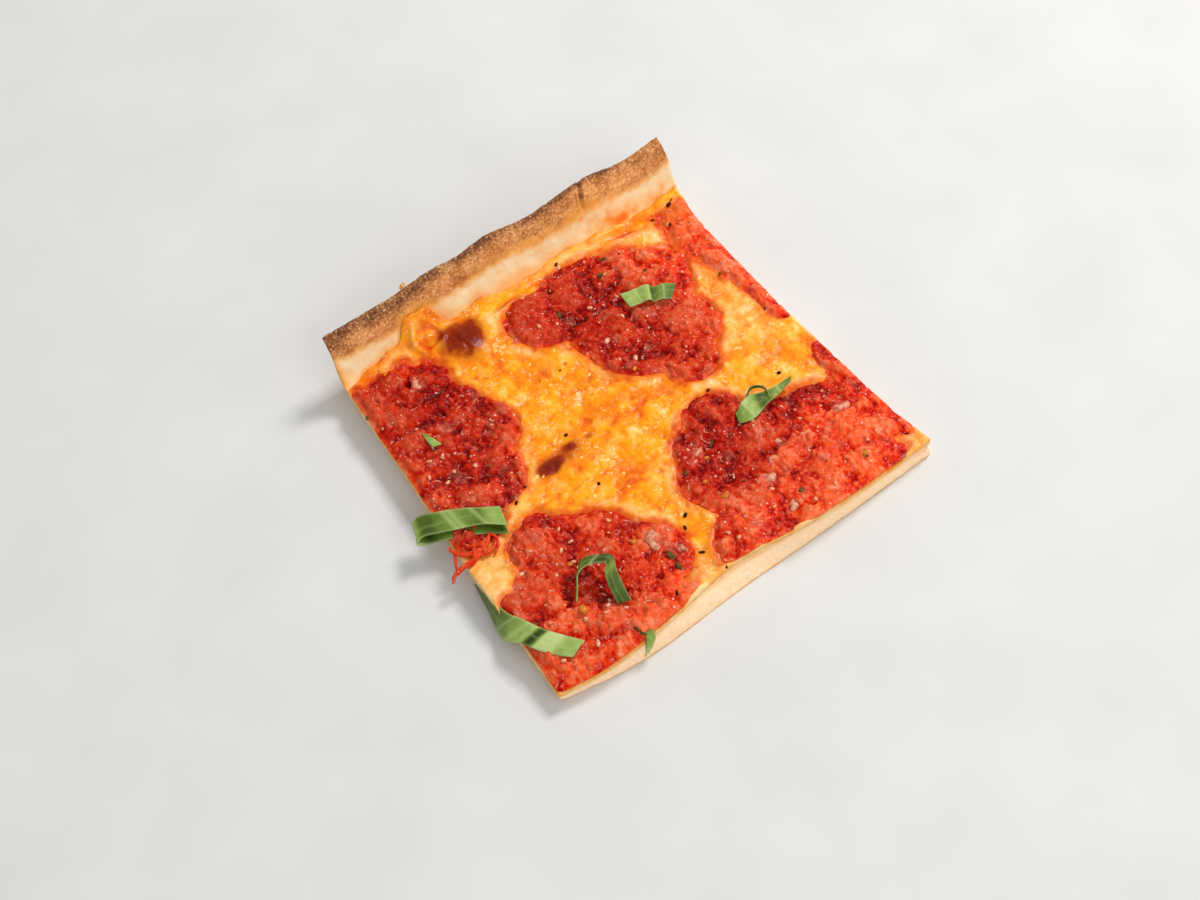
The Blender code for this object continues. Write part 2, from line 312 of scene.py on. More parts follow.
def normals_of(points: Array, faces: Array) -> Array:
    """Unit normal at each point: the sum of its quads' areas as vectors, made one long.

    Args:
        points: n by 3 places in mm.
        faces: rows of four point numbers.

    Returns:
        n by 3 directions.
    """
    a, b = points[faces[:, 2]] - points[faces[:, 0]], points[faces[:, 3]] - points[faces[:, 1]]
    area = np.cross(a, b)
    total = np.zeros_like(points)
    for corner in range(4):
        np.add.at(total, faces[:, corner], area)
    return total / np.maximum(np.linalg.norm(total, axis=1, keepdims=True), 1e-9)


def make_piece(name: str, points: Array, faces: Array, material: bpy.types.Material,
               marks: dict[str, Array] | None = None,
               close: bool = False, replaces: str | None = None) -> bpy.types.Object:
    """Turn points into a smooth-shaded piece that rides on the slice.

    Args:
        name: the piece's name.
        points: n by 3 places in mm.
        faces: rows of three or four point numbers.
        material: its finish.
        marks: numbers kept with the points, read by the finish.
        close: fill each open rim with one face.
        replaces: the CAD node that the piece stands for.

    Returns:
        The new object, at the origin.
    """
    mesh = bpy.data.meshes.new(name)
    corners = faces.shape[1]
    mesh.vertices.add(len(points))
    mesh.vertices.foreach_set("co", (points * MM).astype(np.float32).ravel())
    mesh.loops.add(faces.size)
    mesh.loops.foreach_set("vertex_index", faces.astype(np.int32).ravel())
    mesh.polygons.add(len(faces))
    mesh.polygons.foreach_set("loop_start", np.arange(0, faces.size, corners, dtype=np.int32))
    mesh.update(calc_edges=True)
    for mark, values in (marks or {}).items():
        layer = mesh.attributes.new(mark, "FLOAT", "POINT")
        layer.data.foreach_set("value", values.astype(np.float32))
    if close:
        body = bmesh.new()
        body.from_mesh(mesh)
        bmesh.ops.holes_fill(body, edges=[edge for edge in body.edges if edge.is_boundary], sides=0)
        body.to_mesh(mesh)
        body.free()
    mesh.validate()
    mesh.materials.append(material)
    mesh.shade_smooth()
    piece = bpy.data.objects.new(name, mesh)
    bpy.context.scene.collection.objects.link(piece)
    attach(piece, ROOT)
    if replaces:
        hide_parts(replaces)
    log.info("%s: %d faces", name, len(mesh.polygons))
    return piece


# --------------------------------------------------------------------------- finishes


def linear(colour: str) -> tuple[float, float, float, float]:
    """Linear RGBA of an sRGB hex colour such as "F59A30"."""
    parts = [int(colour[k:k + 2], 16) / 255 for k in (0, 2, 4)]
    return (*(c / 12.92 if c <= 0.04045 else ((c + 0.055) / 1.055) ** 2.4 for c in parts), 1.0)


def grey(value: float) -> tuple[float, float, float, float]:
    """Linear RGBA of one number."""
    return (value, value, value, 1.0)


def per_mm(size: float) -> float:
    """Scale of a pattern whose features are the given number of mm across."""
    return 1.0 / (size * MM)


class Kind(Enum):
    """The nodes in use: Blender's name, the socket that is read, and fixed settings."""

    PLACE = ("ShaderNodeTexCoord", "Object", {})
    MARK = ("ShaderNodeAttribute", "Fac", {})
    GRAIN = ("ShaderNodeTexNoise", "Fac", {})
    CELLS = ("ShaderNodeTexVoronoi", "Distance", {})
    RAMP = ("ShaderNodeValToRGB", "Color", {})
    BLEND = ("ShaderNodeMix", 2, {"data_type": "RGBA"})
    SUM = ("ShaderNodeMath", "Value", {"operation": "MULTIPLY_ADD"})    # 0 times 1, plus 2
    BUMP = ("ShaderNodeBump", "Normal", {})
    SHADER = ("ShaderNodeBsdfPrincipled", "BSDF", {})
    END = ("ShaderNodeOutputMaterial", None, {})


SHARE, FROM, TO = 0, 6, 7                       # sockets of a blend of two colours
Socket = bpy.types.NodeSocket
Stops = Sequence[tuple[float, str | float]]


@dataclass(frozen=True)
class Bench:
    """A material in the making."""

    material: bpy.types.Material

    @classmethod
    def named(cls, name: str) -> "Bench":
        """A bench with a new empty material on it.

        Args:
            name: the material's name.

        Returns:
            The bench.
        """
        material = bpy.data.materials.new(name)
        material.use_nodes = True
        material.node_tree.nodes.clear()
        return cls(material)

    def add(self, kind: Kind, inputs: dict | Sequence = (), stops: Stops = (),
            **settings: object) -> Socket | None:
        """Add one node.

        Args:
            kind: which node.
            inputs: a value or a socket to link from, for each input in order, or by name.
            stops: places from 0 to 1 on a ramp, each with its hex colour or number.
            settings: the node's properties.

        Returns:
            The socket that the node is read from, if it has one.
        """
        name, output, fixed = kind.value
        tree = self.material.node_tree
        node = tree.nodes.new(name)
        for key, value in (fixed | settings).items():
            setattr(node, key, value)
        for place, _ in stops[1:-1]:
            node.color_ramp.elements.new(place)
        for element, (place, colour) in zip(node.color_ramp.elements if stops else (), stops):
            element.position = place
            element.color = linear(colour) if isinstance(colour, str) else grey(colour)
        for key, value in inputs.items() if isinstance(inputs, dict) else enumerate(inputs):
            if isinstance(value, Socket):
                tree.links.new(value, node.inputs[key])
            else:
                node.inputs[key].default_value = value
        return None if output is None else node.outputs[output]

    def marks(self, *names: str) -> list[Socket]:
        """Read the numbers kept with the mesh's points, by their names."""
        return [self.add(Kind.MARK, attribute_name=name) for name in names]

    def close(self, finish: "Finish", base: Socket, height: Socket) -> bpy.types.Material:
        """Put the Principled shader on with its fine relief.

        Args:
            finish: its roughness, highlight and depth of relief.
            base: the colour.
            height: the relief, from 0 to 1.

        Returns:
            The finished material.
        """
        normal = self.add(Kind.BUMP, {"Height": height, "Distance": finish.depth * MM,
                                      "Strength": finish.relief})
        shader = self.add(Kind.SHADER, {
            "Base Color": base, "Roughness": finish.roughness, "IOR": finish.ior,
            "Specular IOR Level": finish.specular, "Normal": normal})
        self.add(Kind.END, {"Surface": shader})
        return self.material


@dataclass(frozen=True)
class Finish:
    """What all finishes share."""

    name: str
    roughness: float = 0.5
    ior: float = 1.5
    specular: float = 0.15         # strength of the highlight, 0.5 for a bare dielectric
    depth: float = 0.1             # what a relief of 1 is, in mm
    relief: float = 0.3            # share of the relief that shows


@dataclass(frozen=True)
class BakedDough(Finish):
    """Wheat dough baked in an oiled pan: pale matt crumb where it is cut, a cream skin
    inside the rim, and a speckled brown crust on its top and its outer wall."""

    name: str = "baked_dough"
    roughness: float = 0.6
    specular: float = 0.16
    depth: float = 0.15
    relief: float = 0.5

    def build(self) -> bpy.types.Material:
        """Crumb and skin by one mark, toasted by others, with oil stains.

        Returns:
            The material.
        """
        bench = Bench.named(self.name)
        add = bench.add
        place = add(Kind.PLACE)
        fine, speck, wide = (
            add(Kind.GRAIN, {"Vector": place, "Scale": per_mm(size), "Detail": detail,
                             "Roughness": rough})
            for size, detail, rough in ((0.8, 3.0, 0.6), (0.7, 1.5, 0.5), (5.0, 4.0, 0.55)))
        grit, blister = (add(Kind.CELLS, {"Vector": place, "Scale": per_mm(size)})
                         for size in (1.3, 2.0))
        cut, browning, scorch, oil = bench.marks("cut", "browning", "scorch", "oil")
        crumb = add(Kind.RAMP, {"Fac": fine},
                    ((0.3, "FAD0A2"), (0.5, "FED8AE"), (0.72, "FFE4C4")))
        skin = add(Kind.RAMP, {"Fac": wide},
                   ((0.3, "F0C890"), (0.42, "F3D6A4"), (0.58, "F5E0B6"), (0.72, "F7E8C8")))
        base = add(Kind.BLEND, {SHARE: cut, FROM: skin, TO: crumb})

        # toast: brown to scorched by the mark, with pale flour grit
        drift = add(Kind.SUM, (wide, 0.8, -0.4))
        speckle = add(Kind.SUM, (speck, 1.0, drift))
        brown = add(Kind.RAMP, {"Fac": speckle},
                    ((0.2, "985626"), (0.42, "C47C42"), (0.6, "DC9656"), (0.85, "F4BC82")))
        deep = add(Kind.RAMP, {"Fac": speckle}, ((0.2, "4A2618"), (0.42, "744428"),
                                                 (0.62, "A06A3E"), (0.78, "C8925E"),
                                                 (0.9, "F0C48E")))
        toasted = add(Kind.BLEND, {SHARE: scorch, FROM: brown, TO: deep})
        flour = add(Kind.RAMP, {"Fac": grit}, ((0.1, 0.75), (0.24, 0.0)))
        toasted = add(Kind.BLEND, {SHARE: flour, FROM: toasted, TO: linear("EFC48C")})

        # a golden ground first, then the toast where the mark is strong
        golden = add(Kind.RAMP, {"Fac": speckle},
                     ((0.2, "E8A048"), (0.5, "F1B566"), (0.8, "F8CE92")))
        for colour, grain, shift, low, high in ((golden, 0.3, -0.16, 0.08, 0.5),
                                                (toasted, 0.7, -0.35, 0.42, 0.86)):
            level = add(Kind.SUM, (browning, 1.0, shift))
            level = add(Kind.SUM, (speck, grain, level))
            share = add(Kind.RAMP, {"Fac": level}, ((low, 0.0), (high, 1.0)))
            base = add(Kind.BLEND, {SHARE: share, FROM: base, TO: colour})

        # pale blisters where the browning is halfway
        bubble = add(Kind.RAMP, {"Fac": blister}, ((0.13, 1.0), (0.25, 0.0)))
        where = add(Kind.RAMP, {"Fac": browning},
                    ((0.2, 0.0), (0.4, 0.8), (0.6, 0.7), (0.85, 0.0)))
        bubble = add(Kind.BLEND, {SHARE: bubble, FROM: grey(0.0), TO: where})
        base = add(Kind.BLEND, {SHARE: bubble, FROM: base, TO: linear("FAD8A0")})

        # oil that soaked in
        soaked = add(Kind.SUM, (oil, 1.0, -0.22))
        soaked = add(Kind.SUM, (wide, 0.45, soaked))
        stain = add(Kind.RAMP, {"Fac": soaked},
                    ((0.0, "F8C464"), (0.45, "F4A238"), (1.0, "EA6A16")))
        share = add(Kind.RAMP, {"Fac": soaked}, ((0.05, 0.0), (0.75, 1.0)))
        base = add(Kind.BLEND, {SHARE: share, FROM: base, TO: stain})
        return bench.close(self, base, add(Kind.SUM, (grit, 0.4, fine)))


@dataclass(frozen=True)
class MeltedCheese(Finish):
    """Shredded cheese melted into one sheet: orange oil in its hollows, pale yellow on
    the strands that kept their shape, their own colour with painted highlight, and
    browned where it blistered."""

    name: str = "melted_cheese"
    roughness: float = 0.26
    ior: float = 1.4
    specular: float = 0.2
    depth: float = 0.16
    relief: float = 0.35
    paler: bool = False            # for the shreds that lie on top

    def build(self) -> bpy.types.Material:
        """Colour by the height of the melt, then pale edges, red oil and browning.

        Returns:
            The material.
        """
        bench = Bench.named(self.name)
        add = bench.add
        place = add(Kind.PLACE)
        fine, dust = (add(Kind.GRAIN, {"Vector": place, "Scale": per_mm(size), "Detail": detail})
                      for size, detail in ((1.0, 2.0), (0.4, 1.0)))
        height = add(Kind.SUM, (fine, 0.6, dust))
        # the shreds on top are paler: their own paler cheese with painted highlight
        if self.paler:
            base = add(Kind.RAMP, {"Fac": fine},
                       ((0.3, "F6A636"), (0.5, "F9BC58"), (0.7, "FBD088")))
            return bench.close(self, base, height)
        wide, thin, warped = (
            add(Kind.GRAIN, {"Vector": place, "Scale": per_mm(size), "Detail": detail,
                             "Distortion": twist})
            for size, detail, twist in ((6.0, 3.0, 0.0), (7.0, 1.0, 0.0), (1.6, 1.0, 1.5)))
        melt, pale, oil, browning = bench.marks("melt", "pale", "oil", "browning")
        level = add(Kind.SUM, (melt, 0.7, -0.62))
        for grain, weight in ((fine, 0.35), (wide, 1.15)):
            level = add(Kind.SUM, (grain, weight, level))
        gold = add(Kind.RAMP, {"Fac": level},
                   ((0.1, "E05E08"), (0.3, "EE7E0C"), (0.48, "F4920E"),
                    (0.66, "F6A51C"), (0.84, "F7B84C"), (1.0, "F9CC88")))

        # thin pale streaks: the milky strands' own colour with painted highlight on them
        streak_and_highlight = add(Kind.SUM, (warped, 1.0, -0.25))
        streak_and_highlight = add(Kind.SUM, (thin, 0.5, streak_and_highlight))
        share = add(Kind.RAMP, {"Fac": streak_and_highlight}, ((0.62, 0.0), (0.8, 0.7)))
        base = add(Kind.BLEND, {SHARE: share, FROM: gold, TO: linear("FBDCA6")})
        for mark, stops in ((pale, ((0.2, "F2A040"), (0.5, "F5BA6A"), (0.8, "F8D29A"))),
                            (oil, ((0.25, "CC3606"), (0.6, "E2601E"), (0.9, "F08A48")))):
            tint = add(Kind.RAMP, {"Fac": level}, stops)
            base = add(Kind.BLEND, {SHARE: mark, FROM: base, TO: tint})

        # browning, darker in its middle
        toast = add(Kind.SUM, (browning, 0.8, -0.3))
        toast = add(Kind.SUM, (fine, 0.6, toast))
        burnt = add(Kind.RAMP, {"Fac": toast},
                    ((0.1, "C05606"), (0.35, "983202"), (0.7, "801E02"), (1.0, "5C1404")))
        share = add(Kind.RAMP, {"Fac": browning}, ((0.06, 0.0), (0.5, 1.0)))
        base = add(Kind.BLEND, {SHARE: share, FROM: base, TO: burnt})
        return bench.close(self, base, height)


@dataclass(frozen=True)
class CrushedTomato(Finish):
    """Crushed tomato baked down on the cheese: clear dark red juice in its hollows,
    made darker by painted shade, hazy paler pulp on top, and pale dots painted as the
    glints of wet grains."""

    name: str = "tomato_sauce"
    roughness: float = 0.2
    ior: float = 1.33
    specular: float = 0.14
    depth: float = 0.22
    relief: float = 0.6

    def build(self) -> bpy.types.Material:
        """Deep and bright reds by the height of the pulp, darker where it is low: the juice's
        own red and painted shade. Then haze, flesh, and pale dots painted as glints.

        Returns:
            The material.
        """
        bench = Bench.named(self.name)
        add = bench.add
        place = add(Kind.PLACE)
        pulp, warm, flesh, edge = bench.marks("pulp", "warm", "flesh", "edge")
        patch, fine, grain, haze = (
            add(Kind.GRAIN, {"Vector": place, "Scale": per_mm(size), "Detail": detail,
                             "Roughness": rough, "Distortion": twist})
            for size, detail, rough, twist in ((6.0, 3.0, 0.5, 1.2), (1.9, 2.5, 0.55, 0.0),
                                               (0.5, 1.0, 0.5, 0.0), (2.4, 3.0, 0.5, 2.2)))
        # dark where the pulp is low, pale where it is high: the juice's own red, with painted shade
        # in the creases and painted highlight on the lumps' tops
        level = add(Kind.SUM, (pulp, 0.8, -0.66))
        for pattern, weight in ((fine, 0.75), (patch, 0.6)):
            level = add(Kind.SUM, (pattern, weight, level))
        deep, bright = (
            add(Kind.RAMP, {"Fac": level}, tuple(zip((0.1, 0.28, 0.46, 0.64, 0.82, 1.0), reds)))
            for reds in (("560000", "7C0000", "9C0A00", "B01804", "B82C12", "BE4830"),
                         ("980200", "C41400", "DC2C06", "E84818", "EE6434", "F28660")))
        base = add(Kind.BLEND, {SHARE: warm, FROM: deep, TO: bright})
        share = add(Kind.RAMP, {"Fac": haze}, ((0.52, 0.0), (0.72, 0.5)))
        milky = add(Kind.BLEND, {SHARE: warm, FROM: linear("B04C40"), TO: linear("EE8464")})
        base = add(Kind.BLEND, {SHARE: share, FROM: base, TO: milky})
        for mark, tone, stops in (
                (flesh, fine, ((0.3, "A83C2A"), (0.5, "BE5E48"), (0.75, "D89078"))),
                (edge, level, ((0.2, "C83A08"), (0.7, "E2681E")))):
            tint = add(Kind.RAMP, {"Fac": tone}, stops)
            base = add(Kind.BLEND, {SHARE: mark, FROM: base, TO: tint})

        # painted highlights: pale dots of two sizes for the glints of wet grains, each in patches
        for size, low, high, colour in ((1.3, 0.12, 0.2, "F0A48A"), (2.3, 0.09, 0.15, "FBDCCC")):
            dot = add(Kind.CELLS, {"Vector": place, "Scale": per_mm(size)})
            dot = add(Kind.RAMP, {"Fac": dot}, ((low, 1.0), (high, 0.0)))
            where = add(Kind.GRAIN, {"Vector": place, "Scale": per_mm(size * 2.6)})
            where = add(Kind.RAMP, {"Fac": where}, ((0.45, 0.0), (0.6, 0.9)))
            share = add(Kind.BLEND, {SHARE: dot, FROM: grey(0.0), TO: where})
            base = add(Kind.BLEND, {SHARE: share, FROM: base, TO: linear(colour)})
        return bench.close(self, base, add(Kind.SUM, (grain, 0.55, fine)))


@dataclass(frozen=True)
class BasilLeaf(Finish):
    """Fresh basil cut in ribbons: soft greens from olive to grey-green, with paler
    veins and cut edges, and a slight sheen. Along a ribbon the green also holds
    painted shade and painted highlight at its folds."""

    name: str = "basil_leaf"
    roughness: float = 0.45
    specular: float = 0.3
    depth: float = 0.14
    relief: float = 0.4

    def build(self) -> bpy.types.Material:
        """Greens by the ribbon's tone mark, its own green with painted shade and painted
        highlight at folds, with veins and cut edges paler.

        Returns:
            The material.
        """
        bench = Bench.named(self.name)
        add = bench.add
        place = add(Kind.PLACE)
        tone, vein = bench.marks("tone", "vein")
        wide, fine = (add(Kind.GRAIN, {"Vector": place, "Scale": per_mm(size), "Detail": detail})
                      for size, detail in ((2.4, 3.0), (0.5, 2.0)))
        shade = add(Kind.SUM, (tone, 1.0, -0.26))
        for pattern, weight in ((fine, 0.2), (wide, 0.32)):
            shade = add(Kind.SUM, (pattern, weight, shade))
        base = add(Kind.RAMP, {"Fac": shade}, ((0.0, "283604"), (0.25, "475E10"), (0.5, "6A842C"),
                                               (0.75, "92AA54"), (1.0, "B4C47C")))
        base = add(Kind.BLEND, {SHARE: vein, FROM: base, TO: linear("B4C47E")})
        return bench.close(self, base, add(Kind.SUM, (fine, 0.7, wide)))


@dataclass(frozen=True)
class Speckled(Finish):
    """Two tones mixed by grain: small strewn bits, each with its own sheen, and the floor."""

    dark: str = "000000"
    light: str = "FFFFFF"
    size: float = 1.0              # spacing of the grain in mm

    def build(self) -> bpy.types.Material:
        """Two tones mixed by noise of the given size.

        Returns:
            The material.
        """
        bench = Bench.named(self.name)
        place = bench.add(Kind.PLACE)
        fine = bench.add(Kind.GRAIN, {"Vector": place, "Scale": per_mm(self.size), "Detail": 2.0})
        base = bench.add(Kind.RAMP, {"Fac": fine}, ((0.3, self.dark), (0.7, self.light)))
        return bench.close(self, base, fine)


# --------------------------------------------------------------------------- the slice


Spoonfuls = tuple[tuple[float, float, float], ...]     # circles: x, y and radius

POOLS: dict[str, Spoonfuls] = {
    "sauce_back_left": (
        (-45, 43, 10.5), (-33, 44, 6), (-37, 52.5, 2), (-36, 30, 10.5), (-33, 18, 11.5),
        (-47, 26, 11), (-47, 8, 12), (-40, 3, 10.5), (-51, -5, 9)),
    "sauce_back_right": (
        (2, 43, 9), (3, 38, 7), (17, 43, 10.5), (26, 47, 6), (15, 27, 10), (21, 16, 12.5),
        (33, 14, 13.5), (29, 1, 8), (27, 33, 9), (38, 31, 11.5), (34, 42, 7.5), (45, 37, 6.2)),
    "sauce_front_left": (
        (-43, -24, 8), (-38, -17.5, 4), (-37, -30, 12), (-28, -33, 10), (-22, -46, 12.5),
        (-48, -42, 13), (-43, -53, 12), (-54, -54, 10.5), (-29, -53, 9)),
    "sauce_front_right": (
        (21, -19, 9), (14, -27, 11), (10, -37, 12), (13, -49, 11), (2, -53, 5), (-3, -55, 3),
        (28, -36, 15), (30, -50, 13.5), (44, -38, 13), (44, -50, 13), (54, -45, 10),
        (58, -32, 5), (60, -23, 4)),
    "sauce_edge_right": (
        (57.5, 48, 4), (58, 43, 5.5), (55, 41, 3.5), (58, 35, 5), (58.5, 28, 5), (60, 21, 4.4),
        (60, 14, 3.2), (60, 7, 3), (60, 2, 2.5)),
}


@dataclass(frozen=True)
class SliceForm:
    """The slice's own plan and levels, with the values that the solids are made from.

    A rim profile's rows are a share of the climb, y, and a share of the crest's height.
    """

    front_y: float = -66.0
    left_x: float = -64.7
    left_lean: float = 0.083       # how far the left cut leans in for each mm back
    left_belly: float = 0.9
    left_undercut: float = 1.5     # how far its foot lies inside its top
    right_x: float = 61.2
    right_bow: float = 0.0005      # how far the cut bows out for each square mm from its waist
    right_waist_y: float = -25.0
    right_flare: float = 1.3
    right_undercut: float = 0.5    # the same for the right cut
    front_top: Knots = ((-66, -64), (-50, -66), (-30, -65), (-5, -61.6), (20, -64), (62, -62.5))
    front_foot: Knots = ((-66, -63), (-45, -66.4), (-5, -65.2), (30, -64.4), (62, -63))
    dough_top: float = 5.4
    swell: float = 0.35
    swell_wave: float = 46.0       # length of the swells
    middle_lift: float = 0.9       # how far the front cut is raised in its middle
    rim_start: float = 54.0
    crest: Knots = ((-53, 21.3), (-42, 21.3), (-26, 23.0), (-16, 22.5), (-5, 24.2), (10, 21.9),
                    (33, 24.2), (48, 21.8), (66, 24.8))
    rim_inside: Knots = ((0, 54, .28), (.22, 57.3, .385), (.5, 60, .63), (.7, 61.6, .8),
                         (.85, 63.6, .92), (1, 65.8, 1))
    rim_outside: Knots = ((0, 58.2, 0), (.22, 61.2, .055), (.5, 64, .33), (.7, 65.5, .62),
                          (.85, 66.3, .83), (1, 66.6, .95))
    meld: float = 1.5              # how softly a pool's circles run together
    spill: float = 3.4             # how much further a pool reaches at a cut

    def left(self, y: Array) -> Array:
        """x of the left cut: a leaning line with a low belly."""
        belly = self.left_belly * bell(y + 20, 22)
        return self.left_x + self.left_lean * (y - self.front_y) - belly

    def right(self, y: Array) -> Array:
        """x of the right cut: a bow about its waist, flared at both ends."""
        flare = self.right_flare * (bell(y + 66, 13) + bell(y - 58, 7))
        return self.right_x + self.right_bow * (y - self.right_waist_y) ** 2 + flare

    def front(self, x: Array) -> Array:
        """y of the front cut's top edge."""
        return smooth_through(self.front_top, x)

    def dough(self, x: Array, y: Array) -> Array:
        """Top of the dough: level, plus slow swells, less thin corners, plus a middle lift.

        Args:
            x: places in plan, in mm.
            y: the same.

        Returns:
            The height at each place, in mm.
        """
        wave = 2 * math.pi / self.swell_wave
        swell = self.swell * np.sin(wave * (x + 11)) * np.cos(wave * y)
        left_corner = 1.7 * bell(np.hypot(x + 64, y + 64), 17)
        right_corner = bell(np.hypot(x - 62, y + 63), 17)
        lift = self.middle_lift * np.exp(-(x / 22) ** 2 - ((y + 64) / 14) ** 2)
        curl = ease(38.0, self.rim_start, y)
        foot = self.rim_inside[0][2] * smooth_through(self.crest, x)
        flat = self.dough_top + swell - (left_corner + right_corner) + lift
        return flat * (1 - curl) + foot * curl

    def surface(self, x: Array, y: Array) -> Array:
        """Top of the dough, going on up the rim's inner face.

        Args:
            x: places in plan, in mm.
            y: the same.

        Returns:
            The height at each place, in mm.
        """
        shares = np.linspace(0, 1, 60)
        rim_y, height = np.moveaxis(smooth_through(self.rim_inside, shares), -1, 0)
        on_rim = np.interp(y, rim_y, height) * smooth_through(self.crest, x)
        return np.where(y > self.rim_start, on_rim, self.dough(x, y))

    def pool(self, spoonfuls: Spoonfuls, x: Array, y: Array) -> Array:
        """Distance to a pool's outline: -m ln(sum exp(-(d - r) / m)).

        Args:
            spoonfuls: the pool's circles.
            x: places in plan, in mm.
            y: the same.

        Returns:
            The distance in mm, below 0 inside.
        """
        total = 0.0
        for cx, cy, radius in spoonfuls:
            away = np.hypot(x - cx, y - cy) - radius
            total = total + np.exp(-np.clip(away, -40, 60) / self.meld)
        return -self.meld * np.log(total)

    def any_pool(self, x: Array, y: Array) -> Array:
        """Distance to the nearest pool's outline, below 0 inside one."""
        every = [self.pool(spoonfuls, x, y) for spoonfuls in POOLS.values()]
        return np.minimum.reduce(every) - self.spilt(x, y)

    def spilt(self, x: Array, y: Array) -> Array:
        """How much further a pool reaches near a cut."""
        return self.spill * ease(6.5, 1.5, self.inside(x, y))

    def inside(self, x: Array, y: Array) -> Array:
        """Distance inside the nearest of the three cuts, below 0 outside."""
        return np.minimum.reduce((x - self.left(y), self.right(y) - x, y - self.front(x)))


FORM = SliceForm()


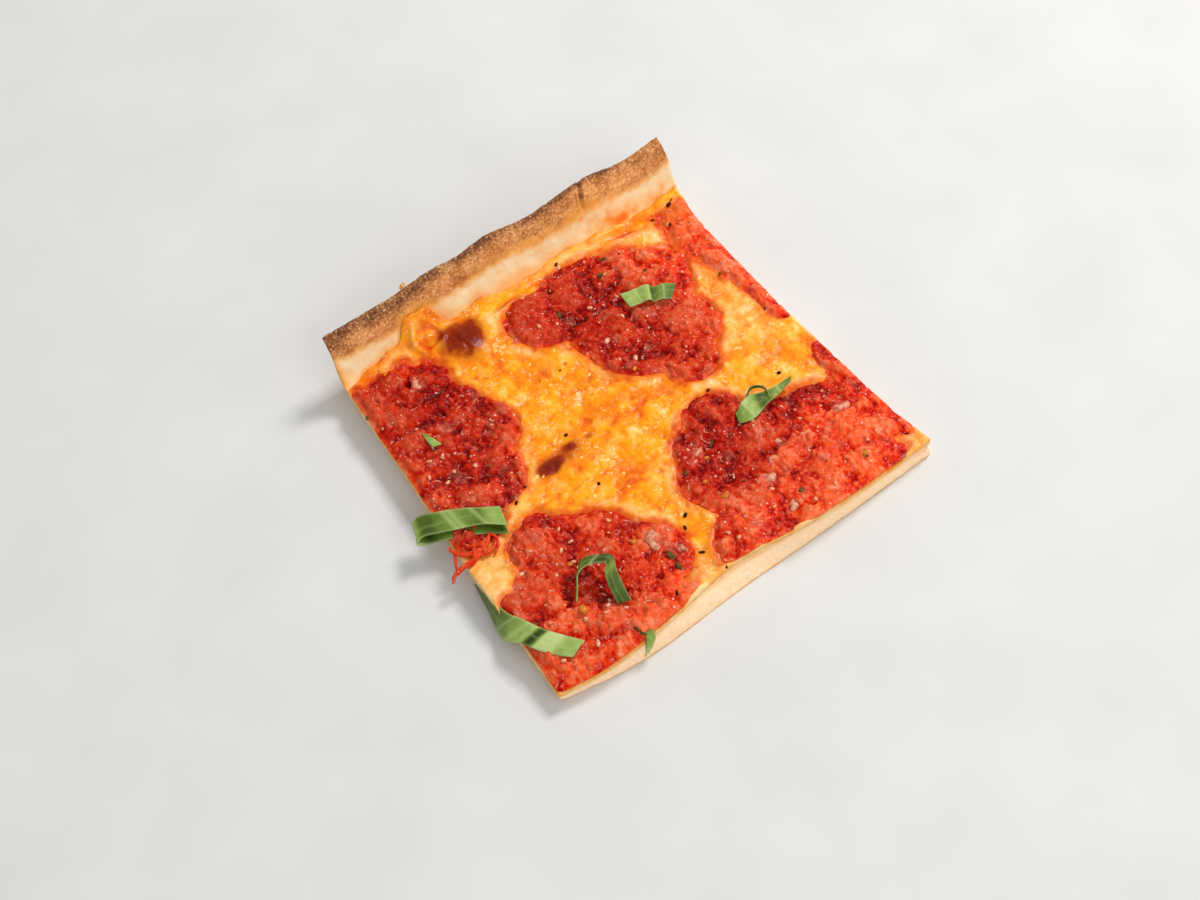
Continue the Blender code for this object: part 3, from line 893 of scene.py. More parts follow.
@dataclass
class Crust:
    """The dough: a thin base cut on three sides and its turned-up, browned rim."""

    columns: int = 244
    base_rows: int = 112
    rim_rows: int = 44
    wall_rows: int = 14
    lip_round: float = 0.35        # how far the top of the rim is domed
    cut_bulge: float = 0.1         # how far the side cuts bulge
    front_bulge: float = 0.25      # the same for the front cut
    crumb_pore: float = 1.5        # spacing of the pores in the cut crumb
    pore_depth: float = 0.35       # depth of those pores
    crack_x: float = 37.0          # where the crack in the rim meets its outer edge
    crack_y: float = 66.0
    crack_lean: float = 0.55       # how far it runs along the rim for each mm across it
    crack_depth: float = 1.5
    tear_depth: float = 1.5        # of the split in the cut at the front right corner
    clearance: float = 0.5         # how far the dough sinks under the cheese

    # strength, middle, reach along and across, and turn in degrees
    STAINS = ((0.8, 44, 57.6, 12, 1.6), (0.45, 34, 60.6, 9, 1.2, 3), (0.3, 12, 61.2, 20, 0.8, 1),
              (0.5, 60, 57.4, 4, 1.6), (0.45, -56, 57.0, 7, 2.2))

    def surface(self, across: Array, along: Array, low: bool) -> Array:
        """Points of one side: the base from the front cut on, then the rim's own profile.

        Args:
            across: shares across the slice.
            along: rows along it, of which the rim starts at base_rows.
            low: the lower side, not the upper.

        Returns:
            Points in mm.
        """
        form = FORM
        rim = form.rim_outside if low else form.rim_inside
        base = np.clip(along / self.base_rows, 0, 1)
        climb = self.climb(along)
        straight = form.left_x + across * (form.right_x - form.left_x)
        profile = smooth_through(rim, climb)
        front = smooth_through(form.front_foot if low else form.front_top, straight)
        y = np.where(climb > 0, profile[..., 0], front + base * (rim[0][1] - front))
        left = form.left(y) + (form.left_undercut if low else 0.0)
        right = form.right(y) - (form.right_undercut if low else 0.0)
        x = left + across * (right - left)
        level = 0.0 * x if low else form.dough(x, y)
        z = np.where(climb > 0, profile[..., 1] * smooth_through(form.crest, straight), level)
        return np.stack((x, y, z), axis=-1)

    def climb(self, along: Array) -> Array:
        """Share of the rim's climb at each row."""
        return np.clip((along - self.base_rows) / self.rim_rows, 0, 1)

    def wall(self, low: Array, high: Array, bulge: Sequence[float]) -> Array:
        """Grid from one edge line to another: low + t (high - low) + bulge sin(pi t).

        The first and last columns stay straight, so that walls meet at the corners.

        Args:
            low: points of one line.
            high: points of the other.
            bulge: how far the middle stands out along x, y and z.

        Returns:
            Rows of points.
        """
        t = np.linspace(0, 1, self.wall_rows + 1)[:, None, None]
        free = np.ones((1, len(low), 1))
        free[:, [0, -1]] = 0.0
        return low + t * (high - low) + np.array(bulge) * free * np.sin(math.pi * t)

    def patches(self) -> tuple[Array, Array, dict[str, Array]]:
        """The six sides as one welded shell.

        Returns:
            Points, faces, and the marks that say which side a point is on and how far up.
        """
        u = np.linspace(0, 1, self.columns + 1)[:, None]
        rows = np.arange(self.base_rows + self.rim_rows + 1)[None, :].astype(float)
        low, high = self.surface(u, rows, True), self.surface(u, rows, False)
        rim = slice(self.base_rows, None)
        climb = self.climb(rows) + 0 * u
        t = np.linspace(0, 1, self.wall_rows + 1)[:, None]
        shell = Shell()
        shell.add_grid(high[:, :self.base_rows + 1], top=1.0)
        shell.add_grid(high[:, rim], inner=1.0, climb=climb[:, rim])
        shell.add_grid(low, flip=True, under=1.0, climb=climb)
        front = self.wall(low[:, 0], high[:, 0], (0, -self.front_bulge, 0))
        shell.add_grid(front, flip=True, cut=1.0, rise=t + 0 * u.T)
        lip = self.wall(low[:, -1], high[:, -1], (0, 0.1, self.lip_round))
        shell.add_grid(lip, climb=1.0, lip=1.0)
        for side, outward in ((0, -self.cut_bulge), (-1, self.cut_bulge)):
            shell.add_grid(self.wall(low[side], high[side], (outward, 0, 0)), flip=side == -1,
                           cut=1.0, rise=t + 0 * rows, climb=self.climb(rows) + 0 * t, end=1.0)
        return shell.welded()

    def crack(self, points: Array) -> Array:
        """How far each point lies beyond the crack's ragged line, in mm along x."""
        line = self.crack_x - self.crack_lean * (self.crack_y - points[:, 1])
        return points[:, 0] - (line + 0.25 * noise(points, 1.2, 17))

    def relief(self, points: Array, marks: dict[str, Array]) -> Array:
        """How far each point stands out along its normal.

        Cut faces have pores and a torn grain, the rim a pebbled skin with slow dents and a
        crack, the underside a slight waviness, and one corner a split. Under the cheese the
        dough stays clear of it.

        Args:
            points: places in mm.
            marks: which side each is on, and how far up.

        Returns:
            Heights in mm.
        """
        x, y, z = points.T
        pore, _, own = lumps(points, self.crumb_pore, 11)
        cut = marks["cut"] * (1 - ease(0.1, 0.5, marks["climb"]))
        pores = -self.pore_depth * np.clip(1 - pore / 0.42, 0, 1) * (own > 0.35)
        torn = 0.16 * noise(points, 2.6, 12, 3) + 0.06 * noise(points, 0.7, 13)
        skin = 0.1 * noise(points, 1.1, 14, 2) + 0.3 * noise(points, 9.0, 15, 2)
        pebble = 0.12 * noise(points, 0.9, 16, 2) * ease(0.55, 0.85, marks["climb"])
        flat = marks["under"] * (1 - ease(0.0, 0.1, marks["climb"]))
        out = cut * (pores + torn) + (1 - cut) * (1 - flat) * (0.75 * skin + pebble)
        out = out + flat * (0.18 * noise(points, 6.0, 18, 2) + 0.08)

        crack = self.crack_depth * bell(self.crack(points), 0.42) * ease(60.0, 62.0, y)
        branch = 0.5 * bell(self.crack(points) + 2.1, 0.3)
        branch = branch * ease(61.2, 62.2, y) * (1 - ease(63.5, 64.4, y))
        out = out - (crack + branch) * (z > 15)
        tear = bell(z - 3.3, 0.55) * bell(np.hypot(x - 61, y + 62), 4.5)
        out = out - self.tear_depth * marks["cut"] * tear

        covered = np.maximum(marks["inner"], marks["top"])
        covered = covered * ease(-0.3, -1.6, CheeseSheet.past_edge(x, y))
        covered = covered * ease(0.3, 1.5, FORM.inside(x, y))
        return out * (1 - covered) - self.clearance * covered

    @staticmethod
    def browning(points: Array, marks: dict[str, Array]) -> Array:
        """How brown the dough is: most on the rim's top and its outer wall.

        Args:
            points: places in mm.
            marks: which side each is on, and how far up.

        Returns:
            Shares about 0 to 1.
        """
        x, y, z = points.T
        climb = marks["climb"]
        edge = 0.61 + 0.04 * noise(points, 9.0, 21, 2) + 0.03 * noise(points, 1.6, 22, 2)
        edge = edge - 0.03 * blob(x, y, (-38, 62), (9, 9)) + 0.03 * ease(-46, -60, x)
        inner_top = ease(-0.16, 0.1, climb - edge) * (marks["inner"] + marks["lip"] > 0.4)
        by_cut = ease(3.2, 0.2, x - FORM.left(y)) * (0.52 + 0.2 * noise(points, 2.0, 19, 2))
        inner_top = np.maximum(inner_top, by_cut * (marks["inner"] > 0.5))
        outer = 0.8 * marks["under"] * ease(0.02, 0.5, climb)
        base = 0.42 + 0.3 * noise(points, 9.0, 23, 3)
        base = base * marks["under"] * (1 - ease(0.0, 0.3, climb))
        end = 0.4 * ease(0.0, 0.2, climb) + 0.14 * ease(0.2, 0.5, climb)
        end = marks["end"] * (end + 0.4 * ease(0.75, 1.0, climb))
        foot = marks["cut"] * bell(z, 0.55) * 0.6
        every = np.maximum.reduce((inner_top, outer, base, end, foot))
        return np.where(marks["inner"] > 0.5, inner_top, every)

    def scorch(self, points: Array, climb: Array) -> Array:
        """How dark the browning is: most along the crest, in the crack and to the left.

        Args:
            points: places in mm.
            climb: how far up the rim each is, from 0 to 1.

        Returns:
            Shares from 0 to 1.
        """
        x = points[:, 0]
        crest = 0.06 + 0.94 * ease(0.7, 0.97, climb)
        dark = crest * (0.3 + 0.75 * ease(40, -40, x) + 0.4 * noise(points, 12.0, 24, 2))
        dark = dark + blobs(x, climb, ((0.8, -54, 0.95, 5, 0.25), (0.6, -24, 1.0, 9, 0.14)))
        dark = dark + 1.1 * ease(0.88, 1.0, climb) * ease(62, 30, x)
        dark = dark + 0.9 * bell(self.crack(points), 0.6) * ease(0.6, 0.75, climb)
        return np.clip(dark + 0.2 * noise(points, 3.0, 28, 2), 0, 1)

    def oil(self, points: Array, marks: dict[str, Array]) -> Array:
        """Oil that soaked in: along the cheese, in stains, and under the cheese at the cuts.

        Args:
            points: places in mm.
            marks: which side each is on, and how far up.

        Returns:
            Shares about 0 to 1.
        """
        x, y, _ = points.T
        past = np.maximum(CheeseSheet.past_edge(x, y), 0)
        halo = 0.55 * bell(past, 1.2 + 0.6 * noise(points, 6.0, 26, 2))
        stain = blobs(x, y, self.STAINS)
        stain = stain + 0.25 * noise(points, 2.2, 25, 2) * (stain > 0.1)
        oil = np.clip(np.maximum(halo, stain), 0, 1) * (marks["inner"] > 0.5)
        line = marks["cut"] * ease(0.72, 1.0, marks["rise"]) * (1 - ease(0.0, 0.2, marks["climb"]))
        drip = 0.3 + 0.3 * blob(x, y, (0, -63), (15, 9)) + 0.15 * noise(points, 3.0, 29, 2)
        return np.maximum(oil, drip * line)

    def build(self, material: bpy.types.Material) -> None:
        """Make the piece: the six sides, each point moved out by its relief.

        Args:
            material: its finish.
        """
        points, faces, marks = self.patches()
        looks = {
            "cut": np.clip(marks["cut"] * (1 - ease(0.0, 0.35, marks["climb"])), 0, 1),
            "browning": np.clip(self.browning(points, marks), 0, 1),
            "scorch": self.scorch(points, marks["climb"]),
            "oil": self.oil(points, marks)}
        points = points + normals_of(points, faces) * self.relief(points, marks)[:, None]
        points[:, 2] = np.maximum(points[:, 2], 0.02)
        make_piece("crust_baked", points, faces, material, looks, replaces="crust")


@dataclass
class CheeseSheet:
    """The melted cheese: one sheet from the front cut to the foot of the rim."""

    columns: int = 300
    rows: int = 282
    skirt_rows: int = 4
    bottom: float = 2.6            # level of the hidden underside, inside the dough
    thick: float = 1.75
    sunk: float = 0.75             # thickness under a pool
    gap: float = 0.35              # from the dough to the sheet, not counting what is hidden
    inset: float = 0.05            # how far it stays within the cuts
    back_thick: float = 0.1        # thickness at the back edge
    rim_foot: float = 57.5         # y where the sheet meets the rim, about
    tuck: float = 1.6              # how far a side's hidden foot goes towards the slice's middle
    ring: float = 4.2              # radius of the ring that a burst bubble left
    shreds: int = 430
    heading: tuple[float, float] = (38.0, 28.0)    # their mean direction and its spread, in degrees

    # x and y of the back edge, then marks: strength, middle, reach along and across, turn
    BACK = ((-66, 53.0), (-59, 54.0), (-54.8, 55.2), (-48.4, 57.0), (-42, 58.0), (-36.9, 58.4),
            (-33.8, 58.9), (-31.2, 60.2), (-28.6, 60.8), (-25.4, 60.8), (-22.4, 60.2),
            (-18.6, 58.7), (-14.6, 57.6), (-8.6, 57.9), (0, 57.4), (8, 57.8), (15, 57.3),
            (22.8, 57.8), (31, 57.2), (40, 57.3), (50, 56.7), (60, 57.0), (66, 57.4))
    RIDGES = ((0.9, 44, 49.6, 7, 1.7, -14), (0.7, 17, 55.3, 9, 1.2, 3),
              (-0.8, 42, 52.2, 6, 0.6, -10))
    OILY = ((0.3, -25.5, 55.5, 5.5, 5.0), (0.55, -10, -22, 2.2, 1.6), (0.6, -5.5, 24, 2.6, 1.8),
            (0.6, 56, 52, 5, 4), (0.45, 43, 50, 9, 1.6, -6), (0.9, 42, 52.2, 5.5, 0.8, -10),
            (0.5, 41, 54.6, 8, 1.4, -4), (0.25, -50, 54, 9, 2.5, 20), (0.8, 52, 35, 2.6, 8, -6),
            (0.4, 14, -16, 6, 3, 30), (0.38, 8, 12, 3, 2))
    BROWNED = ((1.05, -16.0, 48.7, 3.5, 6.0, -30), (0.9, -20.0, 50.1, 5.2, 5.4, -30),
               (1.0, -24.8, -3.9, 3.4, 2.2, 5), (0.36, -20.5, -3.0, 7.5, 3.6),
               (0.6, -15.8, -1.3, 2.0, 1.5), (0.4, -9.9, -1.7, 1.5, 1.1),
               (0.5, 0, 23.6, 0.9, 0.7), (0.3, -1, 52, 8, 0.9, 8))
    PALER = (((0.75, -6, -60, 12, 4.0),), ((0.85, -58, -26, 5, 13, -8),),
             ((0.95, 44, 49.6, 7, 1.6, -14), (0.8, 16, 55.8, 8, 1.3, 3)),
             ((0.6, 28, 54.5, 8, 2.5),))

    @classmethod
    def back_edge(cls, x: Array) -> Array:
        """y where the cheese ends on the rim: a wavy line that climbs by the blister."""
        return smooth_through(cls.BACK, x) + 0.18 * np.sin(np.asarray(x) / 1.3)

    @classmethod
    def past_edge(cls, x: Array, y: Array) -> Array:
        """Distance beyond the sheet's back edge, square to it, below 0 on the sheet."""
        slope = (cls.back_edge(x + 0.3) - cls.back_edge(x - 0.3)) / 0.6
        return (y - cls.back_edge(x)) / np.hypot(1.0, slope)

    @staticmethod
    def from_ring(x: Array, y: Array) -> Array:
        """Distance from the middle of the ring, in mm."""
        return np.hypot((x + 26.2) / 1.05, y - 55.2)

    def place(self, across: Array, along: Array) -> tuple[Array, Array]:
        """Plan position for shares across and along the sheet.

        Args:
            across: shares from the left cut to the right one.
            along: shares from the front cut to the back edge.

        Returns:
            x and y in mm.
        """
        form = FORM
        straight = form.left_x + across * (form.right_x - form.left_x)
        front = form.front(straight) + self.inset
        left, right = form.left(self.rim_foot), form.right(self.rim_foot)
        at_rim = left + across * (right - left)
        y = front + along * (self.back_edge(at_rim) - front)
        left = form.left(y) + self.inset
        return left + across * (form.right(y) - self.inset - left), y

    @staticmethod
    def sink(x: Array, y: Array) -> Array:
        """1 under the pools and 0 clear of them."""
        return ease(0.4, -2.2, FORM.any_pool(x, y))

    def strands(self, x: Array, y: Array) -> Array:
        """Height of the half-melted shreds.

        Each shred is a long dome, exp(-(u/a)^4 - (v/b)^2), and the highest one counts.
        They are laid out on a quarter-millimetre map, then read off it.

        Args:
            x: places in plan, in mm.
            y: the same.

        Returns:
            Heights from 0 to 1.
        """
        step, low, size = 0.25, -72.0, 577
        height = np.zeros((size, size))
        dice = np.random.default_rng(41)
        where = dice.uniform(-64, 62, (self.shreds, 2))
        turn = np.radians(dice.normal(*self.heading, self.shreds))
        long, wide = dice.uniform(0.7, 2.6, self.shreds), dice.uniform(0.35, 0.75, self.shreds)
        tall = dice.uniform(0.35, 1.0, self.shreds)
        for (cx, cy), angle, a, b, top in zip(where, turn, long, wide, tall):
            reach = int((a + 1.0) / step) + 2
            i, j = int((cx - low) / step), int((cy - low) / step)
            i0, i1 = max(i - reach, 0), min(i + reach, size)
            j0, j1 = max(j - reach, 0), min(j + reach, size)
            gx = low + step * np.arange(i0, i1)[:, None] - cx
            gy = low + step * np.arange(j0, j1)[None, :] - cy
            c, s = math.cos(angle), math.sin(angle)
            u, v = gx * c + gy * s, gy * c - gx * s
            v = v + 0.12 * u * u / a * math.sin(cx * 7.0)
            shape = top * np.exp(-(u / a) ** 4 - (v / b) ** 2)
            height[i0:i1, j0:j1] = np.maximum(height[i0:i1, j0:j1], shape)
        fx, fy = (x - low) / step, (y - low) / step
        ix, iy = np.clip(fx.astype(int), 0, size - 2), np.clip(fy.astype(int), 0, size - 2)
        tx, ty = fx - ix, fy - iy
        return ((1 - tx) * (1 - ty) * height[ix, iy] + tx * (1 - ty) * height[ix + 1, iy]
                + (1 - tx) * ty * height[ix, iy + 1] + tx * ty * height[ix + 1, iy + 1])

    def level(self, x: Array, y: Array) -> Array:
        """Smooth top of the sheet, before its shreds: thinner under pools and at the back.

        Args:
            x: places in plan, in mm.
            y: the same.

        Returns:
            Heights in mm.
        """
        thick = self.thick + (self.sunk - self.thick) * self.sink(x, y)
        edge = ease(-5.0, 0.0, self.past_edge(x, y))
        thick = thick + (self.back_thick - thick) * edge
        gap = self.gap * (1 - edge)
        return FORM.surface(x, y + gap) + gap + thick

    def relief(self, x: Array, y: Array) -> tuple[Array, Array]:
        """The cheese's own relief: slow waves, folds, half-melted shreds and pits.

        Args:
            x: places in plan, in mm.
            y: the same.

        Returns:
            Heights in mm, and how molten it is from 0 to 1.
        """
        points = flat_points(x, y)
        strands = self.strands(x, y)
        pit, _, own = lumps(points, 3.4, 31, True)
        pits = np.clip(1 - pit / 0.4, 0, 1) * (own > 0.45)
        slow, mid = noise(points, 9.0, 32, 2), noise(points, 2.4, 33, 2)
        folds = billows(points, 4.2, 37, 2) - 0.4
        height = 0.32 * slow + 0.14 * mid + 0.16 * strands - 0.2 * pits + 0.36 * folds
        # melt rises on the shreds, which take the pale end of the finish's ramp: their own paler
        # cheese with painted highlight
        melt = 0.4 + 0.22 * slow + 0.12 * mid + 0.34 * strands - 0.3 * pits + 0.3 * folds
        return height, np.clip(melt, 0, 1)

    def features(self, x: Array, y: Array) -> Array:
        """Height of the blister, the ring, the ridges at the rim and the pools' swollen edges.

        Args:
            x: places in plan, in mm.
            y: the same.

        Returns:
            Heights in mm.
        """
        dome = blob(x, y, (-19.4, 48.2), (6.4, 5.6), -44)
        blister = dome * (1.9 + 0.35 * noise(flat_points(x, y), 2.2, 38, 2))
        reach = self.from_ring(x, y)
        ring = 0.9 * bell(reach - self.ring, 0.9) * ease(-35, -31, x)
        ring = (ring + 0.5 * bell(reach, 2.2)) * ease(0.0, -1.2, self.past_edge(x, y))
        ridge = blobs(x, y, self.RIDGES)
        lip = 0.35 * bell(FORM.any_pool(x, y) - 1.0, 0.9)
        lip = lip * (0.4 + 0.6 * (noise(flat_points(x, y), 4.0, 34) > 0))
        return blister + ring + ridge + lip

    def looks(self, x: Array, y: Array, melt: Array) -> dict[str, Array]:
        """Marks that the finish reads: melt, pale, oil and browning.

        Args:
            x: places in plan, in mm.
            y: the same.
            melt: how molten the cheese is there.

        Returns:
            Each mark by name, from 0 to 1.
        """
        points = flat_points(x, y)
        away = FORM.any_pool(x, y)
        soft, near = noise(points, 3.0, 35, 2), noise(points, 2.6, 39, 3)
        cut = bell(np.maximum(FORM.inside(x, y) - 0.3, 0), 0.5)

        oil = 0.75 * bell(np.maximum(away + 1.1 * near, 0), 1.1) * (away > -3)
        oil = oil + blobs(x, y, self.OILY) + 0.5 * blob(x, y, (46, 20), (4, 10)) * (soft > 0)
        browning = blobs(x, y, self.BROWNED) * (1 + 0.35 * soft)

        ring = self.from_ring(x, y)
        # the ring's two ridges paler: painted highlight; a little darker between them: painted
        # shade
        loops = bell(ring - self.ring, 0.8) + 0.8 * bell(ring - 1.9, 0.6)
        melt = melt + 0.3 * loops - 0.2 * bell(ring - 3.0, 0.7)

        pale = [0.9 * ease(-52, -62, y + 0.3 * np.abs(x - 56)) * ease(40, 52, x),
                0.7 * blob(x, y, (52, 10), (9, 16)) * (0.5 + 0.5 * soft)]
        pale = np.maximum.reduce(pale + [blobs(x, y, rows) for rows in self.PALER])
        pale = pale * (1 - np.exp(-(ring / 5.0) ** 4))
        seam = bell(away - 1.9 - 0.8 * near, 1.3)
        seam = seam * ease(-0.15, 0.5, noise(points, 7.0, 40, 2))
        pale = np.maximum(pale, 0.8 * seam) + 0.2 * (soft > 0.55)
        marks = {"melt": melt, "pale": np.maximum(pale, cut), "oil": oil * (1 - cut),
                 "browning": browning}
        return {name: np.clip(values, 0, 1) for name, values in marks.items()}

    def side(self, line: Array) -> Array:
        """A cut side of the sheet, from its top edge down into the dough.

        Args:
            line: points along the top edge.

        Returns:
            Rows of points, the last one out of sight.
        """
        inward = np.zeros_like(line)
        inward[:, :2] = -line[:, :2] / np.linalg.norm(line[:, :2], axis=1, keepdims=True)
        t = np.linspace(0, 1, self.skirt_rows + 1)[:, None]
        skirt = np.repeat(line[None], self.skirt_rows + 1, axis=0)
        foot = FORM.surface(line[:, 0], line[:, 1]) - 0.3
        skirt[..., 2] = line[:, 2] + t * (foot - line[:, 2])
        ragged = 0.16 * noise(skirt, 1.6, 36, 2) * ease(0.0, 0.3, t)
        skirt = skirt - inward * (ragged - 0.45 * ease(0.5, 1.0, t))[..., None]
        sunk = skirt[-1:] + self.tuck * inward
        sunk[..., 2] = self.bottom
        return np.concatenate((skirt, sunk))

    def build(self, material: bpy.types.Material) -> None:
        """Make the piece: the top, its four sides, and one hidden face below.

        Args:
            material: its finish.
        """
        u, v = np.linspace(0, 1, self.columns + 1), np.linspace(0, 1, self.rows + 1)
        x, y = self.place(*np.meshgrid(u, v, indexing="ij"))
        height, melt = self.relief(x, y)
        clear = 1 - self.sink(x, y)
        bare = clear * ease(0.0, -3.0, y - self.back_edge(x))
        z = self.level(x, y) + bare * height + clear * self.features(x, y)
        z = z - 0.35 * bell(np.maximum(FORM.inside(x, y), 0), 0.5)
        top = np.stack((x, y, z), axis=-1)
        looks = self.looks(x, y, melt)
        shell = Shell()
        shell.add_grid(top, **looks)
        for edge, flip in EDGES:
            side = self.side(top[edge])
            marks = {name: np.broadcast_to(values[edge], side.shape[:2])
                     for name, values in looks.items()}
            shell.add_grid(side, flip=flip, **marks)
        points, faces, marks = shell.welded()
        make_piece("cheese_melted", points, faces, material, marks, close=True,
                   replaces="cheese")


@dataclass
class TomatoPool:
    """One pool of crushed tomato lying in the cheese, in soft lumps down to grains."""

    node: str
    spoonfuls: Spoonfuls
    seed: int
    warmer: float = 0.0            # how much more orange the pool is
    step: float = 0.27             # spacing of the grid
    level: float = 2.75            # top of the pool above the dough
    low: float = 2.0               # the same at its outline
    rough_edge: float = 1.25       # how far the outline wavers
    drops: tuple[float, float] = (0.5, 1.3)    # steps of the hidden skirt, downwards
    tuck: float = 0.45             # how far each step goes towards the slice's middle
    hem: float = 1.9               # the highest it may hang from, above the dough

    # strength, middle, reach along and across, and turn in degrees
    # dips that are also painted darker: painted shade; the first two lie under the basil arch and
    # are its painted shadow
    HOLLOWS_WITH_PAINTED_SHADE = ((1.1, -41, -40, 5.0, 7.0, -20), (0.7, -35, -48, 4.5, 4.0),
               (0.8, 14, 30, 9, 3.5, -50), (0.7, 20, 11, 6, 4), (0.7, 33, -44, 2.6, 8, 10),
               (0.6, 20, -55, 5, 3), (0.6, -41, 3, 2.6, 7, -30), (0.6, -34, 38, 2.5, 4),
               (1.7, -39.4, 46.4, 0.8, 3.2, -22), (0.5, 1, 41, 4, 5))
    # the last row darkens the pool under the basil arch: painted shadow
    WARM = ((0.4, -35, -24, 12, 8), (0.7, 50, 38, 8, 9), (-0.55, 8, -30, 13, 9),
            (-0.2, 15, 28, 18, 14), (-0.35, -40, 34, 14, 16), (-0.45, -39, -44, 8, 8))
    # middle and reach
    FLESHY = ((-17.3, -43.3, 2.6), (-12.5, -48.5, 1.8), (20, -46, 2.6), (9, -27, 2.3),
              (19.5, -57, 1.9), (-37.5, 43.8, 2.4), (50, -39, 2.4), (30, -38, 1.5),
              (-38.5, -52, 1.7), (-50, 18, 1.5), (24, -54.8, 0.9), (35, -50, 1.5),
              (-40, 26, 2.4), (30, 22, 1.6), (22, 13, 1.4), (17, 21, 1.6), (31.4, 47.4, 1.2))

    def distance(self, x: Array, y: Array) -> Array:
        """Distance to the pool's ragged outline, also cut off at the slice's own cuts.

        Args:
            x: places in plan, in mm.
            y: the same.

        Returns:
            The distance in mm, below 0 inside.
        """
        points, seed = flat_points(x, y), self.seed
        inside = FORM.inside(x, y)
        ragged = noise(points, 4.2, seed, 2) + 0.45 * noise(points, 1.5, seed + 2, 2)
        ragged = self.rough_edge * ragged * (0.4 + 0.6 * ease(0.5, 5.0, inside))
        away = FORM.pool(self.spoonfuls, x, y) + ragged - FORM.spilt(x, y)
        return np.maximum(away, 0.12 - inside + 0.25 * np.abs(noise(points, 1.8, seed + 1, 2)))

    def relief(self, x: Array, y: Array, away: Array) -> tuple[Array, Array]:
        """The pool's top: creased chunks of 6 mm down to 1.5 mm, over slow waves and under
        sparse seeds and grains. The whole sinks towards the outline.

        Args:
            x: places in plan, in mm.
            y: the same.
            away: distance to the outline there.

        Returns:
            Heights in mm above the dough, and how raised the pulp is from 0 to 1.
        """
        seed = self.seed
        points = flat_points(x, y, seed * 1.7)
        bend = np.stack([noise(points, 2.2, seed + k, 2) for k in (2, 3, 4)], axis=-1) * 0.9
        chunk = billows(points + bend, 7.0, seed + 5, 4)
        small, _, own = lumps(points + 0.5 * bend, 1.8, seed + 6, True)
        pebble = np.clip(1 - (small / 0.5) ** 2, 0, 1) * ease(0.45, 0.8, own)
        slow, mid = noise(points, 9.0, seed + 8, 2), noise(points, 1.3, seed + 9, 2)
        height = 2.1 * (chunk - 0.45) + 0.3 * pebble + 0.3 * slow + 0.2 * mid
        rise = 0.5 + 1.25 * (chunk - 0.42) + 0.25 * pebble + 0.2 * slow + 0.15 * mid
        inward = ease(0.0, 2.6, -away)
        top = self.low + (self.level - self.low) * inward + height * (0.3 + 0.7 * inward)
        return top, np.clip(rise, 0, 1)

    def looks(self, x: Array, y: Array, rise: Array, away: Array) -> dict[str, Array]:
        """Marks that the finish reads: pulp, warm, flesh and edge.

        Args:
            x: places in plan, in mm.
            y: the same.
            rise: how raised the pulp is there.
            away: distance to the outline.

        Returns:
            Each mark by name, from 0 to 1.
        """
        points, seed = flat_points(x, y), self.seed
        slow = noise(points, 7.0, seed + 21, 2)
        warm = 0.30 + 0.42 * ease(20, 58, x) + 0.5 * ease(-20, -62, y) + 0.22 * slow
        warm = warm + 0.22 * ease(20, 45, y) * ease(20, 35, x) + blobs(x, y, self.WARM)
        warm = np.maximum(warm, (0.55 + 0.3 * slow) * bell(away, 1.4)) + self.warmer

        spread = 0.9 * noise(points, 2.0, 61)[..., None]
        own, _, pick = lumps(points + spread, 4.4, seed + 22, True)
        flesh = ease(0.5, 0.25, own) * (pick > 0.9) * 0.35
        torn = 0.35 * noise(points, 1.4, 62, 2)
        for cx, cy, reach in self.FLESHY:
            spot = 0.6 * ease(1.2, 0.4, np.hypot(x - cx, y - cy) / reach + torn)
            flesh = np.maximum(flesh, spot)

        edge = 0.7 * bell(away, 0.5) * ease(-0.1, 0.5, FORM.inside(x, y) - 0.6)
        edge = edge * ease(-0.2, 0.6, noise(points, 3.0, seed + 23, 2))
        edge = edge + blobs(x, y, ((0.8, 58, 49, 6, 5), (0.35, 51.5, 38, 3, 6)))
        # the hollows lower the pulp mark, which the finish paints darker: painted shade
        marks = {"pulp": rise - 0.32 * blobs(x, y, self.HOLLOWS_WITH_PAINTED_SHADE), "warm": warm,
                 "flesh": flesh, "edge": edge}
        return {name: np.clip(values, 0, 1) for name, values in marks.items()}

    def onto_outline(self, x: Array, y: Array) -> tuple[Array, Array]:
        """Pull points just outside the outline onto it, down the distance's slope.

        Args:
            x: places in plan, in mm.
            y: the same.

        Returns:
            The places moved.
        """
        d = 0.08
        for _ in range(3):
            away = self.distance(x, y)
            slope_x = (self.distance(x + d, y) - self.distance(x - d, y)) / (2 * d)
            slope_y = (self.distance(x, y + d) - self.distance(x, y - d)) / (2 * d)
            steep = np.maximum(slope_x ** 2 + slope_y ** 2, 0.3)
            move = np.clip(away, -self.step, self.step) / steep
            x, y = x - move * slope_x, y - move * slope_y
        return x, y

